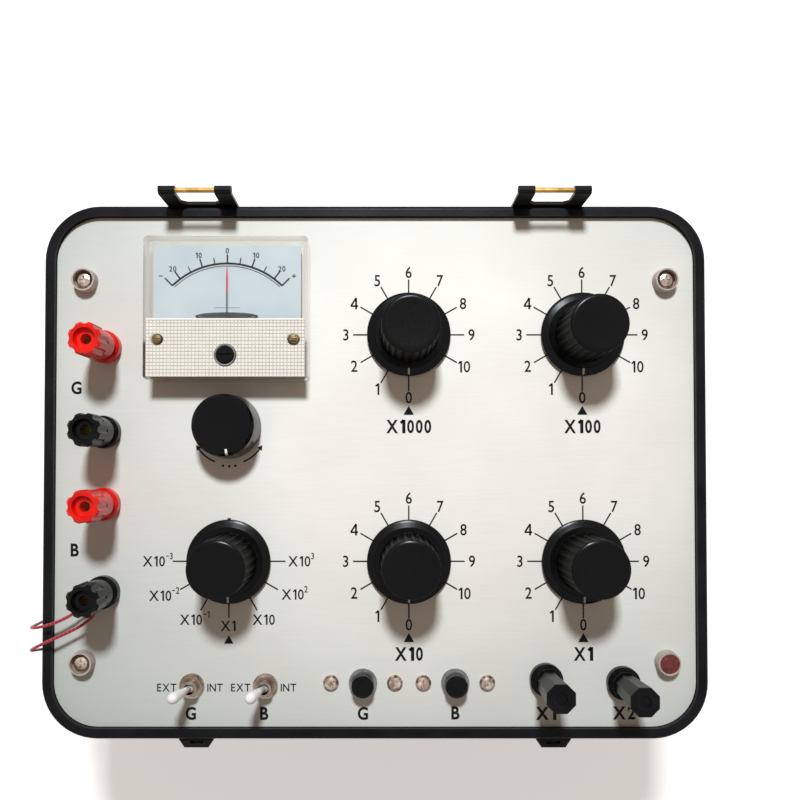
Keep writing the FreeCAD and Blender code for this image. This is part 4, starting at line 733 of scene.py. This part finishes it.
# %% Print the meter's scale
CARD_TOP = 0.1129
METER_X = -0.0580
DIAL = CARD_TOP + INK_HIGH
pivot_x, pivot_y = METER_X, 0.0507
flats = [arc_band(0.0308, 0.0008, 45.6, 134.4, pivot_x, pivot_y, DIAL),
         arc_band(0.0298, 0.0003, 46, 134, pivot_x, pivot_y, DIAL),
         stroke(0.0100, 0.00018, pivot_x, 0.0640, DIAL)]
words = []
for mark in range(-4, 5):
    angle = math.radians(90 - 9.2 * mark)
    long_mark = mark % 2 == 0
    length = 0.0038 if long_mark else 0.0028
    reach = 0.0306 + length / 2
    flats.append(stroke(length, 0.0006 if long_mark else 0.00045, *out_from(pivot_x, pivot_y, reach, angle),
                        DIAL, angle))
    if long_mark:
        figure = str(abs(mark) * 5)
        words.append(letters(figure, 0.0022, *out_from(pivot_x, pivot_y, 0.0358, angle), DIAL, bold=0.02))
for side in (-1, 1):
    angle = math.radians(90 - 44.4 * side)
    flats.append(stroke(0.0044, 0.0006, *out_from(pivot_x, pivot_y, 0.0328, angle), DIAL, angle))
    sign_x, sign_y = pivot_x + side * 0.0262, pivot_y + 0.0258
    flats.append(stroke(0.0016, 0.0004, sign_x, sign_y, DIAL))
    if side > 0:
        flats.append(stroke(0.0004, 0.0016, sign_x, sign_y, DIAL))
printed(flats, words, "meter_scale", dial_ink, "instrument")

# %% [markdown]
# ## The bow over the movement
# Just above the textured part of the cover a dark bow holds the needle's top bearing. It is a thin
# lens of sheet metal that bridges the needle, on a round post at each end, outside the needle's
# swing. A circle squashed flat, pushed up and rounded at its edges makes the lens.

# %% Shape the bearing bow
bow_finish = surface("blued_steel_bow", ("#15161A", "#2A2C30"), 3, 0.3, (0.3, 0.45), 0.006, metallic=0.6)
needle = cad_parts["meter_needle"].data
needle_top = max(corner.co.z for corner in needle.vertices if corner.co.y > 0.0585)
bow_low = needle_top + 0.0002
# Width, depth, place across and along, foot and height, of the lens and then of its two posts.
lenses = [(0.0226, 0.0022, 0.0, 0.0609, bow_low, 0.0004)]
lenses += [(0.0013, 0.0013, side * 0.0115, 0.0604, CARD_TOP, bow_low + 0.0005 - CARD_TOP) for side in (-1, 1)]
bow_parts = []
for across, deep, shift, y, low, high in lenses:
    clear_selection()
    bpy.ops.mesh.primitive_circle_add(vertices=40, radius=0.5, fill_type="NGON",
                                      location=(METER_X + shift, y, low))
    lens = bpy.context.object
    lens.scale = (across, deep, 1.0)
    placed(lens)
    finish_with(lens, "SOLIDIFY", thickness=high, offset=1.0)
    finish_with(lens, "BEVEL", width=0.00012, segments=2)
    bow_parts.append(lens)
settled(merged(bow_parts), "meter_bow", bow_finish, "instrument")

# %% [markdown]
# ## The textured apron of the cover
# The lower part of the clear cover is moulded in small square pyramids, about 1.4 mm apart, which
# hide the movement and sparkle. A grid is inset cell by cell to raise them, so they catch light as
# the real ones do. Their grooves are a darker, mottled greyish beige, which is painted shade. Round
# holes let the cover screws and the zero adjuster through, and a plain lip ends the pattern under
# the dial.

# %% Mould the textured apron
APRON_HIGH = 0.1177
ADJUSTER_Y = 0.0449


def textured_acrylic():
    finish, tree = start_finish("pyramid_moulded_acrylic")
    spot = add(tree, "TexCoord")
    high = add(tree, "SeparateXYZ", {0: spot.outputs["Object"]})
    # Painted shade: below the upper part of the pyramids the colour turns to a darker, mottled beige.
    raised = add(tree, "MapRange", {
        "Value": high.outputs["Z"], "From Min": APRON_HIGH + 0.00002, "From Max": APRON_HIGH + 0.00025})
    mottle = add(tree, "TexNoise", {"Vector": spot.outputs["Object"], "Scale": 1000 / 6, "Detail": 4.0})
    groove_shade = add(tree, "MixRGB", {
        "Fac": mottle.outputs["Fac"], "Color1": linear("#B9B1A2"), "Color2": linear("#DCD6CA")})
    shade = add(tree, "MixRGB", {
        "Fac": raised.outputs[0], "Color1": groove_shade.outputs["Color"], "Color2": linear("#F4F1EA")})
    gloss = add(tree, "MapRange", {"Value": mottle.outputs["Fac"], "To Min": 0.18, "To Max": 0.34})
    shader = add(tree, "BsdfPrincipled", {
        "Base Color": shade.outputs["Color"], "Roughness": gloss.outputs[0], "IOR": 1.49})
    add(tree, "OutputMaterial", {"Surface": shader.outputs["BSDF"]})
    return finish


clear_selection()
bpy.ops.mesh.primitive_grid_add(x_subdivisions=45, y_subdivisions=16, size=1.0,
                                location=(METER_X, 0.0475, APRON_HIGH))
apron = bpy.context.object
apron.scale = (0.0618, 0.0222, 1.0)
placed(apron)
bpy.ops.object.mode_set(mode="EDIT")
bpy.ops.mesh.select_all(action="SELECT")
bpy.ops.mesh.inset(thickness=0.00031, depth=0.00028, use_individual=True)
bpy.ops.object.mode_set(mode="OBJECT")
finish_with(apron, "SOLIDIFY", thickness=0.0002, offset=-1.0)
# The adjuster's hole in the middle and a smaller one for each cover screw.
for aside, y, radius in ((0.0, ADJUSTER_Y, 0.0044), (-0.0265, 0.0511, 0.0025), (0.0265, 0.0511, 0.0025)):
    clear_selection()
    bpy.ops.mesh.primitive_cylinder_add(vertices=40, radius=radius, depth=0.004,
                                        location=(METER_X + aside, y, APRON_HIGH + 0.0001))
    cutter = placed(bpy.context.object)
    finish_with(apron, "BOOLEAN", object=cutter, operation="DIFFERENCE", solver="EXACT")
    bpy.data.objects.remove(cutter)
lip = placed(stroke(0.0616, 0.0008, METER_X, 0.0588, APRON_HIGH))
finish_with(lip, "SOLIDIFY", thickness=0.0005, offset=1.0)
finish_with(lip, "BEVEL", width=0.00015, segments=2)
apron = settled(merged([apron, lip]), "meter_apron", textured_acrylic(), "instrument")

# %% [markdown]
# ## The ring round the zero adjuster
# The zero adjuster turns inside a bright ring that stands on the apron. A narrow circle pushed
# outward and given a wall makes the ring, and its rounded edge catches the light.

# %% Turn the adjuster's ring
ring = facing_up(placed(arc_band(0.00385, 0.0005, -180, 180, METER_X, ADJUSTER_Y, 0.1180)))
finish_with(ring, "WELD", merge_threshold=0.00001)
finish_with(ring, "SOLIDIFY", thickness=0.0012, offset=0.0)
finish_with(ring, "BEVEL", width=0.00012, segments=2)
settled(ring, "adjuster_ring", finishes["collar_grey"], "instrument")

# %% [markdown]
# ## The stepped knobs
# A stepped knob is a low domed skirt that sweeps up into a fluted grip. The CAD knob has the right
# size, but fewer flutes and a stepped flare, and the lamp makes a soft bright patch only on an even
# dome. So the knob is drawn up ring by ring, as on a lathe: a ring of 96 corners is pushed out and
# lifted along the profile, from the bore, under the skirt, over the dome and up the grip. Then two
# corners in every four are drawn in along the grip, which gives 24 flutes. Fingers have dulled the
# grip, so its faces take a less glossy finish than the skirt.

# %% Draw a round piece up ring by ring
def lathed(sides, profile, rim=0.0, dish=0.0):
    """A closed round piece from radii and heights in millimetres. Its top may be sunk inside a rim."""
    radius, height = profile[0]
    clear_selection()
    bpy.ops.mesh.primitive_circle_add(vertices=sides, radius=radius / 1000, fill_type="NGON",
                                      location=(0.0, 0.0, height / 1000))
    piece = placed(bpy.context.object)
    bpy.ops.object.mode_set(mode="EDIT")
    bpy.ops.mesh.select_all(action="SELECT")
    for (was_radius, was_height), (radius, height) in zip(profile, profile[1:]):
        bpy.ops.mesh.extrude_edges_move()
        grow = radius / was_radius
        bpy.ops.transform.resize(value=(grow, grow, 1.0), center_override=(0.0, 0.0, 0.0))
        bpy.ops.transform.translate(value=(0.0, 0.0, (height - was_height) / 1000))
    bpy.ops.mesh.edge_face_add()
    if rim:
        bpy.ops.mesh.inset(thickness=rim)
        bpy.ops.transform.translate(value=(0.0, 0.0, -dish))
    bpy.ops.mesh.select_all(action="SELECT")
    bpy.ops.mesh.normals_make_consistent(inside=False)
    bpy.ops.mesh.select_all(action="DESELECT")
    bpy.ops.object.mode_set(mode="OBJECT")
    return piece


# %% Turn the knob and cut its flutes
# From the bore's end through the cavity, the skirt, the dome, the sweep and the grip to the crown.
KNOB_PROFILE = [
    (3.05, 20.3), (3.05, 3.0), (13.5, 3.0), (14.5, 0.0), (16.4, 0.0), (16.7, 0.3), (16.7, 1.2),
    (16.6, 1.4), (16.4, 1.52), (15.5, 1.77), (14.5, 2.05), (13.5, 2.33), (12.6, 2.59), (12.0, 2.79),
    (11.7, 3.1), (11.56, 3.6), (11.5, 4.6), (11.45, 6.2), (11.3, 12.0), (11.25, 17.0), (11.1, 23.0),
    (10.95, 28.5), (10.9, 29.2), (10.65, 29.7), (10.1, 29.95), (9.5, 30.0),
]
DOME_FALL = 0.28
FLUTED = (0.0042, 0.0288)
FLUTE_DRAWN_IN = 0.945
KNOB_SIDES = 96
BORE_SIDE = 0.009  # nearer the middle than this a corner or a face belongs to the bore
pattern = lathed(KNOB_SIDES, KNOB_PROFILE, rim=0.0012, dish=0.0001)
for corner in pattern.data.vertices:
    around = round(math.atan2(corner.co.y, corner.co.x) / (2 * math.pi / KNOB_SIDES)) % 4
    on_grip = FLUTED[0] < corner.co.z < FLUTED[1] and corner.co.xy.length > BORE_SIDE
    corner.select = on_grip and around < 2
bpy.ops.object.mode_set(mode="EDIT")
bpy.ops.transform.resize(value=(FLUTE_DRAWN_IN, FLUTE_DRAWN_IN, 1.0), center_override=(0.0, 0.0, 0.0))
bpy.ops.object.mode_set(mode="OBJECT")
choose(pattern)
bpy.ops.object.shade_smooth_by_angle(angle=math.radians(26))
print("knob pattern:", len(pattern.data.polygons), "faces, height", round(reach_of(pattern)[1].z, 4))

# %% Set a knob on each stepped dial
dull_grip = surface(
    "dull_fluted_phenolic", ("#040404", "#0A0A09"), 6, 0.6, (0.42, 0.55), 0.004, worn="#1E1D1B",
    extra={"Specular IOR Level": 0.08, "IOR": 1.32})
KNOB_FOOT = PANEL + 0.0008
GRIP_DULL = (0.0042, 0.0296)
knobs = {word.lower(): place for word, place in decades.items()}
knobs["ratio"] = (ratio_x, ratio_y)
for dial, (x, y) in knobs.items():
    knob = bpy.data.objects.new(f"turned_{dial}", pattern.data.copy())
    bpy.context.collection.objects.link(knob)
    knob.location = (x, y, KNOB_FOOT)
    settled(knob, f"fluted_knob_{dial}", finishes["knob_plastic"], f"dial_{dial}")
    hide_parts(f"knob_{dial}")
    knob.data.materials.append(dull_grip)
    for face in knob.data.polygons:
        outside = (face.center.xy - Vector((x, y))).length > BORE_SIDE
        if outside and GRIP_DULL[0] < face.center.z - KNOB_FOOT < GRIP_DULL[1]:
            face.material_index = 1
bpy.data.objects.remove(pattern)

# %% [markdown]
# ## White sleeves on the toggle levers
# The metal levers end in white nylon sleeves that thicken towards a round tip, like a small bat. A
# sleeve is drawn up ring by ring too, standing at the origin, and is then leaned along its lever.
# The lever's own line comes from the middles of its lowest and highest corners.

# %% Slip a sleeve on each lever
SLEEVE_PROFILE = [(1.1, 0.0), (1.25, 0.2), (1.4, 1.0), (1.65, 3.0), (1.9, 6.0), (2.1, 9.0), (2.15, 10.3),
                  (2.0, 11.3), (1.6, 12.1), (1.0, 12.6), (0.45, 12.75)]
nylon = surface("white_nylon_sleeve", ("#F1F0EC", "#FBFAF7"), 5, 0.4, (0.25, 0.38), 0.006)
for switch in ("g", "b"):
    corners = [corner.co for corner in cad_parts[f"toggle_lever_{switch}"].data.vertices]
    ends = []
    for edge in (min(co.z for co in corners), max(co.z for co in corners)):
        near = [co for co in corners if abs(co.z - edge) < 0.0012]
        ends.append(sum(near, Vector()) / len(near))
    lean = (ends[1] - ends[0]).normalized()
    print("lever", switch, "leans", round(math.degrees(lean.angle((0.0, 0.0, 1.0)))), "degrees")
    sleeve = lathed(32, SLEEVE_PROFILE)
    bpy.ops.object.shade_smooth_by_angle(angle=math.radians(40))
    sleeve.rotation_euler = lean.to_track_quat("Z", "Y").to_euler()
    sleeve.location = ends[1] - lean * 0.0085
    settled(sleeve, f"toggle_sleeve_{switch}", nylon, f"toggle_{switch}")

# %% [markdown]
# ## Pointers on the knobs
# Each stepped knob has a short pale line on its skirt that points at the scale. The dome falls
# evenly there, so a thin bar tilted by the same fall lies on it. The sensitivity knob is curved, so
# its line is a narrow grid dropped straight down onto the knob, and given the paint's thickness.
# Each line rides on its knob's body, so it turns with it.

# %% Lay the pointers on the knobs
for dial, (x, y) in knobs.items():
    bar = stroke(0.0008, 0.0030, x, y - 0.0147, KNOB_FOOT + 0.0020)
    bar.rotation_euler = (math.atan(DOME_FALL), 0.0, 0.0)
    placed(bar)
    finish_with(bar, "SOLIDIFY", thickness=0.00014, offset=0.0)
    finish_with(bar, "BEVEL", width=0.00004, segments=2)
    settled(bar, f"pointer_{dial}", pointer_paint, f"dial_{dial}")

clear_selection()
bpy.ops.mesh.primitive_grid_add(x_subdivisions=14, y_subdivisions=3, size=1.0,
                                location=(sense_x + 0.0016, sense_y - 0.0104, PANEL + 0.03),
                                rotation=(0.0, 0.0, math.radians(-81)))
line = bpy.context.object
line.scale = (0.0024, 0.0009, 1.0)
placed(line)
finish_with(line, "SHRINKWRAP", target=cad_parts["knob_sensitivity"], wrap_method="PROJECT",
            use_project_z=True, use_negative_direction=True, use_positive_direction=False, offset=0.00006)
print("sensitivity line lies between", [round(end.z, 4) for end in reach_of(line)])
finish_with(line, "SOLIDIFY", thickness=0.00012, offset=-1.0)
settled(line, "pointer_sensitivity", pointer_paint, "sensitivity")

# %% [markdown]
# ## Floor and light
# A plain pale floor takes the instrument's shadow. To the camera and to reflections it also glows a
# little, so the background is white without any more light on the object. One soft lamp stands
# behind the hinges, fairly high, as in the photograph. The dim warm room fills the shadows, which
# are brownish there.

# %% Floor
def seen_directly(tree):
    """One where the camera, a reflection or a look through glass meets the surface."""
    path = add(tree, "LightPath")
    seen = add(tree, "Math", {
        0: path.outputs["Is Camera Ray"], 1: path.outputs["Is Glossy Ray"]}, operation="MAXIMUM")
    glass = add(tree, "Math", {
        0: seen.outputs[0], 1: path.outputs["Is Transmission Ray"]}, operation="MAXIMUM")
    return glass.outputs[0]


floor_paint, tree = start_finish("matt_white_floor_paint")
matt = add(tree, "BsdfDiffuse", {"Color": linear("#F2F1EE")})
glow = add(tree, "Emission", {"Color": (1.0, 1.0, 1.0, 1.0), "Strength": 0.5})
dark = add(tree, "Emission", {"Strength": 0.0})
shown = add(tree, "MixShader", {0: seen_directly(tree), 1: dark.outputs[0], 2: glow.outputs[0]})
floor_shader = add(tree, "AddShader", {0: matt.outputs[0], 1: shown.outputs[0]})
add(tree, "OutputMaterial", {"Surface": floor_shader.outputs[0]})
clear_selection()
bpy.ops.mesh.primitive_plane_add(size=8.0, location=(0.0, 0.0, 0.0))
floor = bpy.context.object
floor.name = "studio_floor"
floor.data.materials.append(floor_paint)

# %% Room and lamp
room = bpy.data.worlds.new("pale_room")
bpy.context.scene.world = room
room.use_nodes = True
tree = room.node_tree
tree.nodes.clear()
fill = add(tree, "Background", {"Color": (1.0, 0.73, 0.55, 1.0), "Strength": 0.20})
white = add(tree, "Background", {"Color": (1.0, 1.0, 1.0, 1.0), "Strength": 1.0})
both = add(tree, "MixShader", {0: seen_directly(tree), 1: fill.outputs[0], 2: white.outputs[0]})
add(tree, "OutputWorld", {"Surface": both.outputs[0]})

lamp = bpy.data.lights.new("window_lamp", "AREA")
lamp.energy = 18.6
lamp.size = 0.16
lamp.color = (0.905, 0.96, 1.0)
lamp_stand = bpy.data.objects.new("window_lamp", lamp)
bpy.context.collection.objects.link(lamp_stand)
lamp_stand.location = (-0.02, 0.74, 1.22)
aim = Vector((0.0, 0.0, 0.1)) - lamp_stand.location
lamp_stand.rotation_euler = aim.to_track_quat("-Z", "Y").to_euler()
print("lamp height in degrees:", round(math.degrees(math.atan2(-aim.z, math.hypot(aim.x, aim.y)))))
